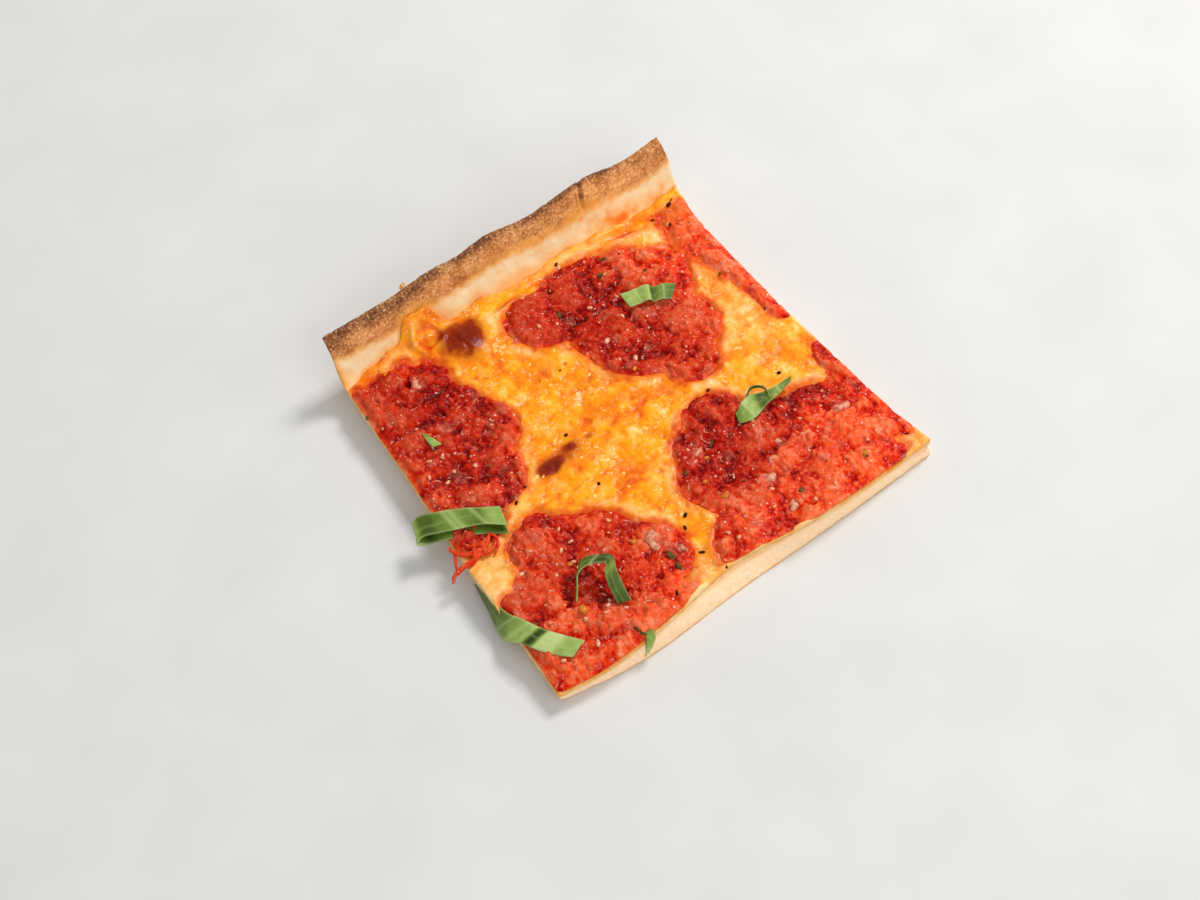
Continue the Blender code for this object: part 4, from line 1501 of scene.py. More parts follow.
    def build(self, material: bpy.types.Material) -> None:
        """Make the piece: a square grid trimmed to the outline, with a skirt into the cheese.

        Args:
            material: its finish.
        """
        circles = np.array(self.spoonfuls, dtype=float)
        low = (circles[:, :2] - circles[:, 2:]).min(axis=0) - 3.0
        high = (circles[:, :2] + circles[:, 2:]).max(axis=0) + 3.0
        lines = [np.arange(low[k], high[k], self.step) for k in (0, 1)]
        x, y = np.meshgrid(*lines, indexing="ij")
        inside = self.distance(x, y) < 0
        corners = (np.s_[:-1, :-1], np.s_[1:, :-1], np.s_[1:, 1:], np.s_[:-1, 1:])
        keep = np.logical_or.reduce([inside[corner] for corner in corners])
        used = np.zeros_like(inside)
        for corner in corners:
            used[corner] |= keep
        stray = used & ~inside
        x[stray], y[stray] = self.onto_outline(x[stray], y[stray])
        away = np.minimum(self.distance(x, y), 0.0)
        top, rise = self.relief(x, y, away)
        z = FORM.surface(x, y) + top - blobs(x, y, self.HOLLOWS_WITH_PAINTED_SHADE) * ease(0.0, 2.0, -away)
        shell = Shell()
        shell.add_grid(np.stack((x, y, z), axis=-1), keep=keep, **self.looks(x, y, rise, away))
        points, faces, marks = self.skirt(*shell.welded())
        make_piece(self.node + "_crushed", points, faces, material, marks, close=True,
                   replaces=self.node)

    def skirt(self, points: Array, faces: Array,
              marks: dict[str, Array]) -> tuple[Array, Array, dict[str, Array]]:
        """Draw the open outline down into the cheese in steps.

        Each step also goes a little towards the slice's middle, clear of the cuts.

        Args:
            points: the top's places in mm.
            faces: its quads.
            marks: numbers kept with the points.

        Returns:
            The same three with the skirt added.
        """
        edges = np.concatenate([faces[:, [k, (k + 1) % 4]] for k in range(4)])
        key = np.sort(edges, axis=1)
        _, first, times = np.unique(key[:, 0] * len(points) + key[:, 1], return_index=True,
                                    return_counts=True)
        rim = edges[first[times == 1]]
        for drop in self.drops:
            ring = np.unique(rim)
            index = np.full(len(points), -1)
            index[ring] = len(points) + np.arange(len(ring))
            lower = points[ring].copy()
            ground = FORM.surface(lower[:, 0], lower[:, 1])
            lower[:, 2] = np.minimum(lower[:, 2] - drop, ground + self.hem - drop)
            lower[:, :2] *= 1 - self.tuck / np.linalg.norm(lower[:, :2], axis=1, keepdims=True)
            below = index[rim]
            wall = np.stack((rim[:, 1], rim[:, 0], below[:, 0], below[:, 1]), axis=1)
            points = np.concatenate((points, lower))
            faces = np.concatenate((faces, wall))
            marks = {name: np.concatenate((row, row[ring])) for name, row in marks.items()}
            rim = below
        return points, faces, marks


@dataclass
class BasilStrip:
    """A ribbon of basil leaf, ruled between its two long edges and thickened.

    Each row of a knot list is a place in mm. The strip is cupped across its width,
    puckered between its veins and given a leaf's thickness.
    """

    node: str
    far: Knots
    near: Knots
    # tone also holds painted shade and painted highlight at folds and shaded flanks
    tone: Knots                    # share along, how light the green is
    veins: tuple[float, ...] = (0.3, 0.6)
    cup: float = 0.25              # how far the middle rises over the edges
    pucker: float = 0.16           # height of the puckers
    steps: int = 90
    width_steps: int = 16
    thick: float = 0.35
    seed: int = 70
    scrap: bool = False            # a scrap stands for no solid of its own

    @classmethod
    def about(cls, node: str, middle: Knots, across: Knots, width: float,
              **more: object) -> "BasilStrip":
        """A strip given by its middle line.

        Args:
            node: its name.
            middle: places along it.
            across: its direction across at each.
            width: its width in mm.
            more: the other fields.

        Returns:
            The strip.
        """
        rows, aside = np.asarray(middle, dtype=float), np.asarray(across, dtype=float)
        half = 0.5 * width * aside / np.linalg.norm(aside, axis=1, keepdims=True)
        return cls(node, (rows + half).tolist(), (rows - half).tolist(), **more)

    def veined(self, s: Array, t: Array) -> Array:
        """Strength of the veins: some across the strip, and a weaker one along it.

        Args:
            s: shares along the strip.
            t: shares across it.

        Returns:
            Numbers from 0 to 1.
        """
        vein = np.zeros_like(s * t)
        for at in self.veins:
            vein = np.maximum(vein, bell((s - at - 0.06 * (t - 0.5)) * 18, 0.32))
        middle = t - 0.5 + 0.1 * np.sin(9 * s)
        return np.maximum(vein, 0.5 * bell(middle * 6, 0.22))

    def build(self, material: bpy.types.Material) -> None:
        """Make the piece: both faces of the leaf, middle + normal * out, and a wall round.

        Args:
            material: its finish.
        """
        s = np.linspace(0, 1, self.steps + 1)[:, None]
        t = np.linspace(0, 1, self.width_steps + 1)[None, :]
        far, near = (smooth_through(by_distance(line), s[:, 0])[:, None, :]
                     for line in (self.far, self.near))
        middle = far + (near - far) * t[..., None]
        normal = np.cross(np.gradient(middle, axis=0), np.broadcast_to(near - far, middle.shape))
        normal = normal / np.maximum(np.linalg.norm(normal, axis=-1, keepdims=True), 1e-9)
        vein = self.veined(s, t)
        pucker = self.pucker * noise(flat_points(s * 18, t * 6, self.seed), 2.6, self.seed, 2)
        out = pucker + self.cup * (4 * t * (1 - t) - 0.5) - 0.14 * vein
        tone = smooth_through(self.tone, s) + 0 * t
        edge = np.maximum(ease(0.1, 0.0, t), ease(0.9, 1.0, t)) + 0 * s
        mask = 0.75 * np.clip(vein * 0.6 + 0.55 * edge, 0, 1)
        half = 0.5 * self.thick * (1 - 0.35 * edge[..., None])
        upper, lower = (middle + normal * (out[..., None] + side * half) for side in (1, -1))
        shell = Shell()
        shell.add_grid(upper, tone=tone, vein=mask)
        shell.add_grid(lower, flip=True, tone=np.clip(tone + 0.12, 0, 1), vein=mask)
        for cut, flip in EDGES:
            rim = np.stack((upper[cut], lower[cut]))
            shell.add_grid(rim, flip=flip, tone=tone[cut] + np.zeros((2, 1)), vein=0.5)
        points, faces, marks = shell.welded()
        make_piece(self.node + "_strip", points, faces, material, marks,
                   replaces=None if self.scrap else self.node)


BASIL: tuple[BasilStrip, ...] = (
    BasilStrip(
        "basil_left",
        far=((-45.2, -9.8, 8.5), (-50, -6.3, 8.6), (-55, -3.2, 8.6), (-60, -0.8, 8.5),
             (-64.2, 2.0, 8.3), (-65.7, 3.2, 9.0), (-64.6, 3.4, 9.7), (-57.9, 0.7, 10.5),
             (-53.6, -1.8, 10.7), (-48.6, -5.2, 10.7), (-44.1, -8.3, 10.5)),
        near=((-46.5, -15.8, 8.5), (-52.9, -11.1, 8.5), (-57.5, -8.3, 8.5), (-62.5, -6.1, 8.4),
              (-66.2, -4.2, 8.1), (-68.2, -3.6, 8.9), (-67.0, -3.0, 9.4), (-61.7, -5, 10.1),
              (-58, -7, 10.4), (-51.3, -10.3, 10.6), (-45.9, -14.8, 10.4)),
        # dark at 0.42 and 0.545, each side of the fold: painted shade; bright at 0.5 on the fold's
        # outside: painted highlight
        tone=((0, 0.2), (0.1, 0.35), (0.2, 0.5), (0.36, 0.4), (0.42, 0.12), (0.5, 0.66),
              (0.545, 0.16), (0.66, 0.28), (0.74, 0.4), (0.82, 0.24), (0.88, 0.22), (0.9, 0.42),
              (1, 0.56)),
        veins=(0.7, 0.735, 0.86), cup=0.3, steps=150, seed=71),
    BasilStrip(
        "basil_draped",
        far=((-61.5, -19.4, 1.6), (-63.7, -30.2, 1.9), (-65.6, -37.3, 3.5), (-66.0, -42.4, 5.7),
             (-63.7, -46.3, 7.4), (-62.7, -49.2, 8.2), (-58.2, -56.4, 8.7), (-55.8, -59, 8.9)),
        near=((-61.7, -22.8, 6.6), (-61.9, -29.9, 7.3), (-61.3, -37.3, 8.4), (-59.8, -41.0, 9.3),
              (-58.6, -44.1, 9.6), (-57.4, -46.8, 9.6), (-53.2, -53.5, 9.6), (-50.6, -57.1, 9.3)),
        # dark at the start, where the strip hangs down the left cut, and at 0.67 where it folds
        # over the edge: painted shade
        tone=((0, 0.2), (0.2, 0.32), (0.35, 0.42), (0.5, 0.62), (0.6, 0.74), (0.655, 0.62),
              (0.67, 0.2), (0.715, 0.25), (0.73, 0.66), (0.9, 0.72), (1, 0.78)),
        veins=(0.42, 0.55, 0.82), cup=0.3, steps=120, seed=72),
    BasilStrip.about(
        "basil_front",
        middle=((-45.0, -45.7, 9.4), (-42.8, -43.1, 11.6), (-40.8, -41.1, 13.6),
                (-38.3, -40.5, 15.0), (-35.1, -42.0, 15.6), (-32.8, -43.7, 15.5),
                (-34.2, -46.8, 13.5), (-35.1, -50.9, 11.3), (-35.5, -54.2, 9.6)),
        across=((-0.35, -0.6, 0.72), (-0.35, -0.6, 0.72), (-0.4, -0.62, 0.6), (-0.2, -0.85, 0.4),
                (-0.1, -0.9, 0.3), (-0.75, -0.35, 0.35), (-0.95, 0.1, 0.25), (-0.95, 0.25, 0.1),
                (-0.9, 0.35, 0.0)),
        tone=((0, 0.62), (0.25, 0.5), (0.4, 0.26), (0.6, 0.2), (0.66, 0.5), (0.72, 0.26),
              (0.85, 0.2), (1, 0.12)),
        width=3.7, veins=(0.45,), cup=0.12, steps=110, seed=73),
    BasilStrip(
        "basil_right",
        far=((25.6, -23.5, 9.4), (31.4, -21.2, 10.6), (36.0, -23.1, 10.9), (40.2, -23.3, 10.6),
             (45.4, -23.4, 10.5)),
        near=((24.5, -26.6, 9.3), (28.5, -28.1, 9.8), (33.9, -26.8, 10.2), (39.0, -25.9, 10.2),
              (44.1, -24.6, 10.3)),
        tone=((0, 0.3), (0.15, 0.5), (0.36, 0.55), (0.44, 0.08), (0.54, 0.2), (0.7, 0.45),
              (0.85, 0.35), (1, 0.2)),
        veins=(0.2, 0.75), cup=0.35, pucker=0.4, seed=74),
    BasilStrip.about(
        "basil_back",
        middle=((26.4, 29.9, 9.7), (30.3, 28.6, 10.1), (33.0, 27.0, 11.2), (34.2, 26.4, 10.0),
                (36.2, 25.6, 10.4), (39.5, 23.6, 10.0)),
        across=((0.1, 0.99, 0.0), (0.4, 0.9, 0.0), (0.5, 0.86, 0.0), (0.55, 0.83, 0.0),
                (0.6, 0.8, 0.0), (0.75, 0.65, 0.0)),
        tone=((0, 0.6), (0.45, 0.66), (0.5, 0.6), (0.53, 0.2), (0.64, 0.2), (0.68, 0.36),
              (0.85, 0.26), (1, 0.14)),
        width=6.0, veins=(0.25, 0.8), cup=0.15, seed=75),
)

SCRAPS: tuple[BasilStrip, ...] = (
    BasilStrip(
        "basil_thin_loop",
        far=((30.7, -21.6, 9.5), (33.8, -20.4, 11.2), (36.3, -22.6, 11.4), (35.9, -25.4, 10.4)),
        near=((30.8, -20.8, 9.6), (33.8, -20.0, 12.0), (36.6, -22.8, 12.2), (36.4, -25.6, 10.6)),
        tone=((0, 0.3), (0.5, 0.15), (1, 0.5)),
        veins=(), cup=0.05, pucker=0.1, steps=36, width_steps=6, thick=0.25, seed=83, scrap=True),
    BasilStrip(
        "basil_triangle",
        far=((-46.6, 27.4, 8.9), (-47.0, 24.5, 9.3), (-46.9, 21.6, 9.1)),
        near=((-46.0, 27.6, 8.9), (-45.1, 24.0, 9.5), (-44.2, 20.8, 9.2)),
        tone=((0, 0.55), (1, 0.75)),
        veins=(), cup=0.1, steps=24, width_steps=8, thick=0.25, seed=81, scrap=True),
    BasilStrip(
        "basil_cut_fleck",
        far=((-36.6, -64.6, 8.6), (-37.4, -66.3, 7.4), (-37.9, -66.7, 4.5), (-38.8, -66.8, 1.6)),
        near=((-34.3, -64.9, 8.6), (-34.6, -66.3, 7.2), (-35.8, -66.8, 4.2), (-37.3, -66.8, 1.4)),
        tone=((0, 0.45), (0.5, 0.75), (1, 1.0)),
        veins=(), cup=0.2, pucker=0.4, steps=30, width_steps=8, thick=0.25, seed=82, scrap=True),
)


@dataclass
class Ground:
    """The tops of the pieces that small bits are dropped on."""

    names: tuple[str, ...]

    def under(self, x: float, y: float) -> tuple[Array, Array]:
        """Find what lies below a place in plan.

        Args:
            x: the place, in mm.
            y: the same.

        Returns:
            The highest point there, in mm, and the surface's normal.
        """
        best, facing = np.array((x, y, 0.0)), np.array((0.0, 0.0, 1.0))
        for name in self.names:
            piece = bpy.data.objects[name]
            hit, spot, normal, _ = piece.ray_cast(Vector((x, y, 40.0)) * MM, Vector((0, 0, -1)))
            if hit and spot.z / MM > best[2]:
                best, facing = np.array(spot) / MM, np.array(normal)
        return best, facing


@dataclass
class Bits:
    """Small bits of one kind, each a lumpy ball flattened, stretched and turned.

    A row of spots is x, y, length, width and height in mm and a turn in degrees.
    """

    name: str
    spots: Knots
    seed: int
    sunk: float = 0.25             # share of the height that lies in the sauce
    rough: float = 0.22            # height of the lumps, as a share of the size
    around: int = 8
    along: int = 5
    bend: float = 0.0              # how far the ends turn up, in heights

    def build(self, ground: Ground, material: bpy.types.Material) -> None:
        """Make the piece: each ball scaled, bent, and turned to stand on the ground.

        Args:
            ground: what the bits lie on.
            material: their finish.
        """
        polar = np.linspace(0, math.pi, self.along + 1)[:, None]
        turn = np.linspace(0, 2 * math.pi, self.around + 1)[None, :]
        ball = np.stack((np.cos(polar) + 0 * turn, np.sin(polar) * np.cos(turn),
                         np.sin(polar) * np.sin(turn)), axis=-1)
        shell = Shell()
        for number, (x, y, length, width, height, degrees) in enumerate(self.spots):
            spot, facing = ground.under(x, y)
            lumpy = 1.0 + self.rough * noise(ball * 1.1 + 13.7 * number, 1.0, self.seed, 2)
            body = ball * lumpy[..., None] * (0.5 * length, 0.5 * width, 0.5 * height)
            body[..., 2] += self.bend * height * (body[..., 0] / (0.5 * length)) ** 2
            angle = math.radians(degrees)
            heading = np.array((math.cos(angle), math.sin(angle), 0.0))
            facing = facing * (0.5, 0.5, 1.0)
            up = facing / np.linalg.norm(facing)
            ahead = heading - up * heading.dot(up)
            ahead = ahead / np.linalg.norm(ahead)
            turned = np.stack((ahead, np.cross(up, ahead), up))
            shell.add_grid(body @ turned + spot + up * height * (0.5 - self.sunk))
        points, faces, _ = shell.welded()
        make_piece(self.name, points, faces, material, close=True)


@dataclass
class Fibres:
    """Torn strands: round tubes that taper at both ends along smooth lines.

    A strand is a thickness in mm and the points that it follows.
    """

    name: str
    strands: Sequence[tuple[float, Knots]]
    seed: int
    slot: Slot | None = None
    around: int = 8
    steps: int = 36
    taper: float = 0.35            # share of the length in which an end thins out
    marks: dict[str, float] = field(default_factory=dict)

    def build(self, material: bpy.types.Material) -> None:
        """Make the piece: circles of radius r(s) set square to each line.

        Args:
            material: its finish.
        """
        s = np.linspace(0, 1, self.steps + 1)
        turn = np.linspace(0, 2 * math.pi, self.around + 1)[None, :, None]
        shell = Shell()
        for number, (thick, line) in enumerate(self.strands):
            path = smooth_through(by_distance(line), s)
            ahead = np.gradient(path, axis=0)
            ahead = ahead / np.linalg.norm(ahead, axis=1, keepdims=True)
            side = np.cross(ahead, (0.05, 0.1, 1.0))
            side = side / np.linalg.norm(side, axis=1, keepdims=True)
            over = np.cross(side, ahead)
            radius = 0.5 * thick * np.sqrt(np.clip(np.minimum(s, 1 - s) / self.taper, 0.0, 1.0))
            radius = radius * (1 + 0.25 * noise(path * 1.3 + number * 9.1, 1.0, self.seed, 2))
            ring = np.cos(turn) * side[:, None, :] + 0.7 * np.sin(turn) * over[:, None, :]
            shell.add_grid(path[:, None, :] + radius[:, None, None] * ring, **self.marks)
        points, faces, marks = shell.welded()
        make_piece(self.name, points, faces, material, marks, close=True)


def on_sauce(x: Array, y: Array) -> Array:
    """1 well inside a pool and 0 at its outline."""
    return ease(-0.8, -1.6, FORM.any_pool(x, y))


def on_cheese(x: Array, y: Array) -> Array:
    """Bare cheese in patches, clear of the pools, the rim and the blister.

    Args:
        x: places in plan, in mm.
        y: the same.

    Returns:
        Shares from 0 to 1.
    """
    clear = ease(0.3, 1.6, FORM.any_pool(x, y))
    clear = clear * ease(-2.0, -5.0, y - CheeseSheet.back_edge(x))
    clear = clear * (blob(x, y, (-19, 48), (8, 8)) < 0.3)
    return clear * (0.25 + 0.75 * ease(-0.2, 0.3, noise(flat_points(x, y), 9.0, 301, 1)))


@dataclass
class Seasoning:
    """Everything small that is strewn on the slice, one piece for each kind.

    A row of bits is x, y, length, width and height in mm and a turn in degrees.
    """

    seed: int = 7
    steepest: float = 0.7          # a strand may climb this share of its length
    stout: float = 1.3             # thickness of the cheese threads, in mm
    thin: float = 0.42             # thickness of the tomato curls, in mm

    FLECKS = ((59.4, 52.8, 2.2, 1.1, 0.5, 20), (61.0, 53.8, 2.6, 0.4, 0.4, 30),
              (52.4, 51.4, 1.5, 0.9, 0.5, -20), (55.1, 46.1, 1.1, 0.8, 0.5, 60),
              (45, -18.3, 1.4, 1.1, 0.6, 20), (25.6, -10.6, 1.4, 0.8, 0.5, 10),
              (56.7, 2.6, 0.9, 0.5, 0.4, 50), (-14.7, 2.3, 1.3, 1.0, 0.6, 0),
              (-17.5, -17.4, 1.2, 0.9, 0.6, 80), (-34, -5.4, 1.3, 0.7, 0.5, -30),
              (-22.7, -60, 2.0, 0.8, 0.5, 60), (-9.4, -53.5, 2.0, 1.1, 0.6, -30),
              (-5.6, -41.1, 1.8, 1.1, 0.6, 40), (-8.1, -44.3, 1.5, 0.9, 0.5, 80),
              (-7.4, -61.6, 1.1, 0.6, 0.4, 60), (19.4, 55.2, 1.6, 0.8, 0.5, 20),
              (59.1, -57.2, 1.7, 0.5, 0.4, -40), (-39.1, -8.5, 1.7, 0.9, 0.6, 40),
              (36, 46, 1.0, 0.7, 0.4, 0), (-2.5, 22.5, 0.8, 0.6, 0.4, 0))
    HERBS = ((14.8, -26.1, 3.6, 1.1, 0.5, 40), (55.1, 21.9, 1.2, 0.9, 0.4, 10),
             (31.2, 47.6, 2.2, 1.3, 0.6, -20), (26.7, 43, 1.9, 1.5, 0.6, 30),
             (9.2, 39.7, 2.5, 1.9, 0.7, 60), (3, -30.2, 2.0, 1.5, 0.7, 0),
             (24, -54.8, 2.3, 1.8, 0.9, 30), (-55.4, 42.9, 1.9, 1.1, 0.6, 70),
             (-37.6, -62.4, 2.6, 0.9, 0.4, -70), (-37.0, -64.4, 2.0, 0.9, 0.4, -50),
             (-16.6, -49.4, 3.4, 1.8, 0.7, -75), (-17.0, -53.2, 3.6, 1.6, 0.7, -95),
             (20.5, -27.5, 2.4, 0.8, 0.4, 20))
    SEEDS = ((-40.9, 9, 1.9, 1.2, 0.7, 60), (-50, 9.3, 2.0, 1.2, 0.7, 20),
             (-50, 18.6, 2.4, 1.0, 0.6, -20), (-53.2, 13.8, 2.0, 1.0, 0.6, 70),
             (-47.9, -59, 2.8, 1.2, 0.7, 60), (-58.2, -58.1, 1.8, 1.3, 0.7, 0),
             (-51.2, -28.4, 2.0, 1.3, 0.8, 10), (-38.7, -29.3, 2.4, 1.0, 0.7, 40),
             (-39.4, -51.9, 1.8, 1.1, 0.7, 30), (-37.8, -50.2, 1.7, 1.0, 0.6, 80),
             (-41.2, -53.6, 1.6, 0.9, 0.6, -20), (4.1, 50.6, 1.8, 1.1, 0.6, 20),
             (14.1, 22.3, 2.8, 1.7, 0.7, 30), (17, 12.4, 2.6, 1.4, 0.7, 60),
             (19.4, 54.0, 1.9, 1.3, 0.6, 0), (-34.8, -28.2, 1.9, 1.0, 0.7, 0),
             (13.0, 14.5, 1.8, 1.0, 0.6, 70))
    GOLDEN = ((-45.6, -49.4, 3.0, 2.3, 1.5, 60), (-21.8, -39.4, 1.9, 1.8, 1.0, 0),
              (-39.3, -34, 1.6, 1.5, 0.9, 0), (6.5, -43.4, 3.0, 2.1, 1.1, 10),
              (45.1, -56.3, 2.3, 1.5, 0.9, 30), (10.5, -29.5, 1.8, 1.2, 0.8, 0),
              (14, 8.5, 1.7, 1.1, 0.7, 20), (5, -36, 1.6, 1.2, 0.7, 0))
    GARLIC = ((-17.3, -43.3, 5.0, 4.0, 1.7, 20), (-12.5, -48.9, 3.4, 2.8, 1.3, 70),
              (20.1, -46.1, 4.6, 3.4, 1.4, 60), (9.2, -26.9, 4.8, 2.8, 1.3, 30),
              (29.8, -37.7, 3.4, 1.8, 1.2, -20), (50, -39.3, 4.6, 2.8, 1.1, 20),
              (19.3, -57.5, 4.2, 2.8, 1.3, 10), (-38.0, 43.6, 4.2, 2.8, 1.2, 70),
              (24, -42, 3.0, 2.2, 1.1, 0))
    # strands: thickness, and the points that it follows
    FLAKE = ((1.5, ((-27.0, 66.0, 22.4), (-25.6, 66.4, 22.9), (-24.4, 66.3, 23.2))),
             (0.16, ((-25.6, 66.2, 23.0), (-25.2, 66.8, 23.9), (-25.6, 67.2, 24.5))))
    TORN = (
        (1.7, ((-62.5, -9.5, 7.9), (-61.0, -13.0, 8.4), (-57.4, -15.6, 8.9), (-53.2, -15.2, 9.1),
              (-50.8, -12.6, 9.0))),
        (1.5, ((-61.5, -11.5, 7.6), (-59.2, -14.8, 8.3), (-56.0, -17.0, 8.6), (-52.2, -16.8, 8.7),
              (-49.8, -14.4, 8.8))),
        (1.3, ((-56.2, -12.0, 8.4), (-57.3, -15.0, 9.2), (-59.2, -17.6, 8.6),
              (-61.8, -18.4, 7.9))),
        (1.3, ((-54.3, -12.5, 8.6), (-54.8, -15.8, 9.4), (-55.6, -18.4, 8.8))),
        (1.7, ((-55.0, -16.0, 8.8), (-59.0, -17.2, 8.7), (-63.0, -17.0, 7.9), (-65.8, -17.4, 6.8),
              (-67.2, -18.6, 5.6))),
        (1.0, ((-62.0, -8.5, 8.0), (-61.8, -11.4, 8.2), (-63.2, -14.4, 7.2), (-64.2, -16.0, 6.2))),
        (1.3, ((-58.6, -10.6, 8.6), (-57.0, -13.4, 9.0), (-54.0, -14.2, 9.2),
              (-51.6, -13.4, 9.0))),
        (1.0, ((-51.4, -12.0, 8.9), (-50.2, -14.8, 9.0), (-51.4, -17.6, 8.7),
              (-53.6, -19.2, 8.2))),
    )

    @staticmethod
    def strewn(count: int, seed: int, length: tuple[float, float], flat: float,
               where: Share) -> list[tuple[float, ...]]:
        """Spots drawn at random over the slice.

        Args:
            count: how many at most.
            seed: picks the spots.
            length: shortest and longest, in mm.
            flat: height as a share of the length.
            where: share of 0 to 1 that allows a spot.

        Returns:
            A row of bits for each spot.
        """
        dice = np.random.default_rng(seed)
        x, y = dice.uniform(-62, 61, count * 8), dice.uniform(-62, 56, count * 8)
        keep = (dice.uniform(0, 1, count * 8) < where(x, y)) & (FORM.inside(x, y) > 0.8)
        x, y = x[keep][:count], y[keep][:count]
        long = length[0] + (length[1] - length[0]) * dice.uniform(0, 1, len(x)) ** 2
        wide = long * dice.uniform(0.45, 0.85, len(x))
        turn = dice.uniform(-90, 90, len(x))
        return np.stack((x, y, long, wide, long * flat, turn), axis=-1).tolist()

    def laid(self, ground: Ground, count: int, seed: int, length: tuple[float, float],
             bow: float, heading: tuple[float, float], lift: float,
             where: Share) -> list[tuple[float, Knots]]:
        """Short bent strands that follow the ground.

        Args:
            ground: what they lie on.
            count: how many.
            seed: picks the spots.
            length: shortest and longest, in mm.
            bow: how far a strand may bend, as a share of its length.
            heading: mean and spread of their direction, in degrees.
            lift: height of the middle line over the ground, in mm.
            where: share of 0 to 1 that allows a spot.

        Returns:
            A thickness and five points for each strand.
        """
        dice = np.random.default_rng(seed + 500)
        strands = []
        for x, y, long, *_ in self.strewn(count, seed, length, 0.4, where):
            angle, bend = math.radians(dice.normal(*heading)), dice.uniform(-bow, bow) * long
            line = []
            for t in (-1.0, -0.5, 0.0, 0.5, 1.0):
                along, aside = 0.5 * long * t, bend * (1 - t * t)
                px = x + along * math.cos(angle) - aside * math.sin(angle)
                py = y + along * math.sin(angle) + aside * math.cos(angle)
                spot, _ = ground.under(px, py)
                line.append([px, py, float(spot[2]) + lift])
            thick = float(dice.uniform(0.75, 1.25))
            if np.ptp([spot[2] for spot in line]) < self.steepest * long:
                strands.append((thick, line))
        return strands

    def bits(self, ground: Ground) -> None:
        """Make the flecks, herbs, seeds, golden bits and garlic.

        Args:
            ground: what they lie on.
        """
        seed = self.seed
        dull = {"roughness": 0.6, "specular": 0.05}
        wet = {"roughness": 0.2, "specular": 0.4}
        char = Speckled("charred_pepper", dark="160804", light="44200E", size=0.4, specular=0.08)
        herb = Speckled("dried_oregano", dark="40280E", light="7A5C30", size=0.7, **dull)
        pip = Speckled("tomato_seed", dark="D07A50", light="EDB48C", size=0.9, **wet)
        gold = Speckled("baked_pulp", dark="B4500E", light="DC8A2E", size=1.0, roughness=0.25)
        pale = Speckled("garlic_bits", dark="B4503A", light="E0A080", size=1.2, roughness=0.3,
                        specular=0.2, relief=0.5)
        flecks = self.strewn(30, seed, length=(0.3, 0.75), flat=0.5,
                             where=lambda x, y: 0.25 + 0 * x)
        herbs = self.strewn(22, seed + 1, length=(0.7, 1.5), flat=0.35, where=on_sauce)
        seeds = self.strewn(120, seed + 2, length=(0.7, 1.7), flat=0.45, where=on_sauce)
        for kind, finish in (
                (Bits("pepper_flecks", [*self.FLECKS, *flecks], 91), char),
                (Bits("dried_herbs", [*self.HERBS, *herbs], 92, rough=0.35, bend=0.5), herb),
                (Bits("tomato_seeds", [*self.SEEDS, *seeds], 93, rough=0.12, sunk=0.3), pip),
                (Bits("golden_bits", self.GOLDEN, 94, along=8, around=12), gold),
                (Bits("garlic_bits", self.GARLIC, 95, sunk=0.74, rough=0.9, along=18,
                      around=26), pale)):
            kind.build(ground, finish.build())

    def strands(self, ground: Ground, sauce: bpy.types.Material) -> None:
        """Make the torn tomato over the left cut, threads of cheese, curls and the flake.

        Args:
            ground: what they lie on.
            sauce: the torn tomato's finish.
        """
        short = {"steps": 14, "taper": 0.5}
        threads = self.laid(ground, 70, self.seed + 3, length=(2.4, 5.0), bow=0.12,
                            heading=(34, 26), lift=-0.38, where=on_cheese)
        threads = [(self.stout * thick, line) for thick, line in threads]
        curls = self.laid(ground, 150, self.seed + 4, length=(1.0, 3.6), bow=0.4,
                          heading=(30, 60), lift=0.05, where=on_sauce)
        curls = [(self.thin * thick, line) for thick, line in curls]
        Fibres("tomato_shreds", self.TORN, 96, Slot.SAUCE,
               marks={"pulp": 0.72, "warm": 0.7}).build(sauce)
        Fibres("cheese_shreds", threads, 97, Slot.CHEESE, **short).build(
            MeltedCheese(name="pale_cheese", paler=True).build())
        Fibres("tomato_curls", curls, 98, **short).build(
            Speckled("tomato_skin", dark="C45A40", light="E89C82", size=0.9, roughness=0.2,
                     specular=0.4).build())
        Fibres("crust_flake", self.FLAKE, 99, Slot.DOUGH, steps=14, taper=0.6).build(
            Speckled("baked_flake", dark="C06C1C", light="EDB264", size=0.8).build())


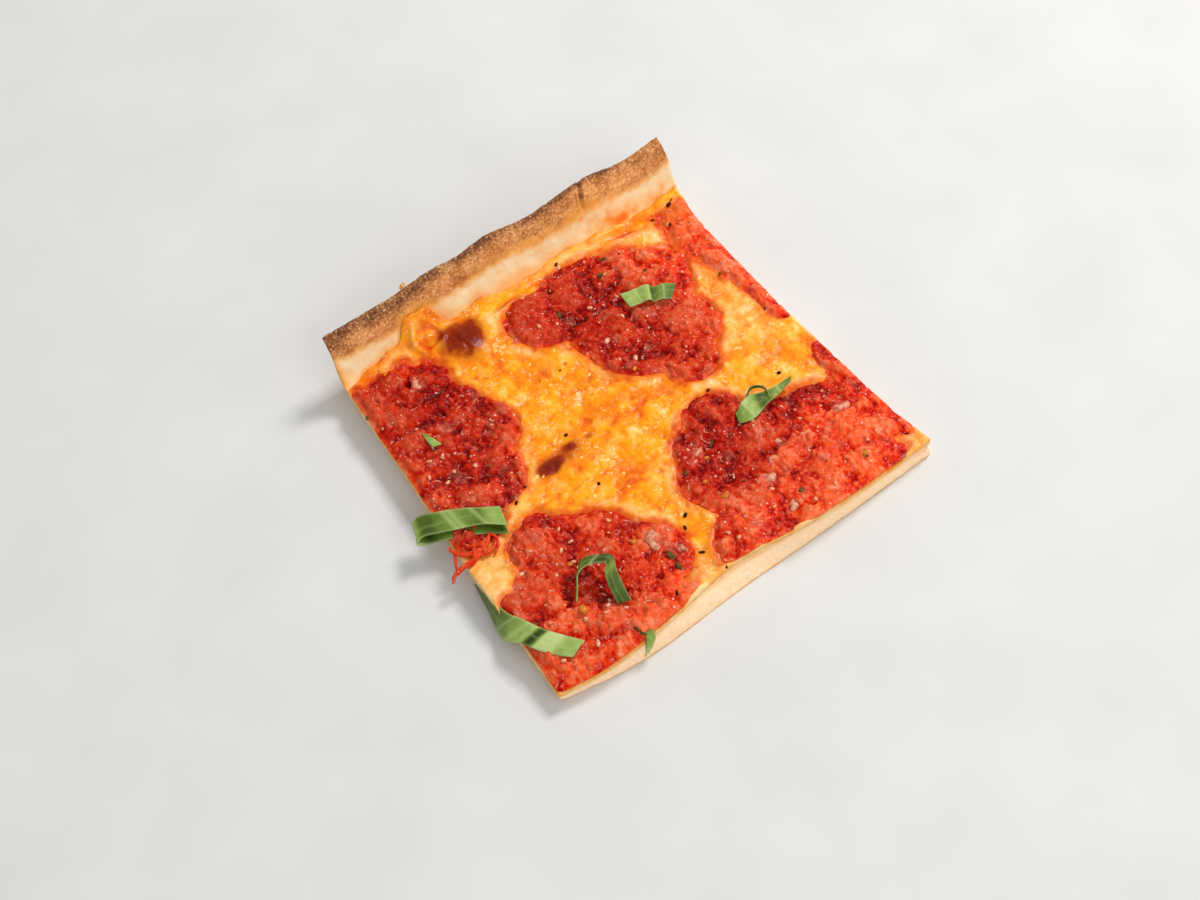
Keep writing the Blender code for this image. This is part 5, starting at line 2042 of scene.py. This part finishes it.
@dataclass
class Studio:
    """A pale floor, a large soft light behind on the right, and the camera.

    A lamp is its name, its place and size in metres, its power in watts and its colour.
    """

    lens: float = 66.0
    sensor: float = 36.0
    sight: tuple[float, float] = (0.01, 20.0)              # nearest and furthest, in metres
    aim: tuple[float, float, float] = (-7.58, -3.12, 0.0)
    back: tuple[float, float, float] = (-0.2999, -0.5257, 0.7961)
    right: tuple[float, float, float] = (0.8686, -0.4955, 0.0)
    distance: float = 622.36
    roll: float = -7.767
    floor_half: float = 900.0
    sky: float = 0.55              # strength of the white all round

    LAMPS = (("key", (0.8, 0.16, 0.96), 0.36, 11.0, "FFFCF8"),
             ("fill", (0.05, -1.1, 0.66), 0.8, 5.0, "FFFFFF"))

    def camera(self) -> None:
        """Place the camera, looking down on the slice from its front left."""
        back, right = Vector(self.back).normalized(), Vector(self.right).normalized()
        up = back.cross(right)
        c, s = math.cos(math.radians(self.roll)), math.sin(math.radians(self.roll))
        side, top = c * right + s * up, -s * right + c * up
        data = bpy.data.cameras.new("camera")
        data.lens, data.sensor_width = self.lens, self.sensor
        data.clip_start, data.clip_end = self.sight
        eye = bpy.data.objects.new("camera", data)
        place = (Vector(self.aim) + back * self.distance) * MM
        turn = Matrix((side, top, back)).transposed().to_4x4()
        eye.matrix_world = Matrix.Translation(place) @ turn
        bpy.context.scene.collection.objects.link(eye)
        bpy.context.scene.camera = eye

    def lamps(self) -> None:
        """Add the square soft lights, each facing the slice."""
        for name, place, size, power, colour in self.LAMPS:
            data = bpy.data.lights.new(name, "AREA")
            data.size, data.energy = size, power
            data.color = linear(colour)[:3]
            lamp = bpy.data.objects.new(name, data)
            lamp.location = place
            lamp.rotation_euler = (-Vector(place)).to_track_quat("-Z", "Y").to_euler()
            bpy.context.scene.collection.objects.link(lamp)

    def floor(self) -> None:
        """Lay a pale matt floor."""
        finish = Speckled("pale_floor", dark="D2D2D1", light="D8D8D7", size=40.0, roughness=0.7,
                          relief=0.05)
        corners = np.array(((-1, -1, 0), (1, -1, 0), (1, 1, 0), (-1, 1, 0))) * self.floor_half
        mesh = bpy.data.meshes.new("floor")
        mesh.from_pydata((corners * MM).tolist(), [], [(0, 1, 2, 3)])
        mesh.materials.append(finish.build())
        thing = bpy.data.objects.new("floor", mesh)
        bpy.context.scene.collection.objects.link(thing)

    def build(self) -> None:
        """Set up the whole studio."""
        self.camera()
        self.floor()
        world = bpy.data.worlds.new("soft_white")
        world.use_nodes = True
        shade = world.node_tree.nodes["Background"]
        shade.inputs["Color"].default_value = linear("FFFFFF")
        shade.inputs["Strength"].default_value = self.sky
        bpy.context.scene.world = world
        self.lamps()
        bpy.context.scene.view_settings.view_transform = "Standard"


def main() -> None:
    """Build the slice's pieces and the studio, in order."""
    Crust().build(BakedDough().build())
    CheeseSheet().build(MeltedCheese().build())
    sauce = CrushedTomato().build()
    for number, (node, spoonfuls) in enumerate(POOLS.items()):
        warmer = 0.5 if node == "sauce_edge_right" else 0.0
        TomatoPool(node, spoonfuls, 100 + 37 * number, warmer).build(sauce)
    leaf = BasilLeaf().build()
    for strip in BASIL + SCRAPS:
        strip.build(leaf)
    ground = Ground(("cheese_melted",) + tuple(node + "_crushed" for node in POOLS))
    seasoning = Seasoning()
    seasoning.bits(ground)
    seasoning.strands(ground, sauce)
    Studio().build()


if __name__ == "__main__":
    main()
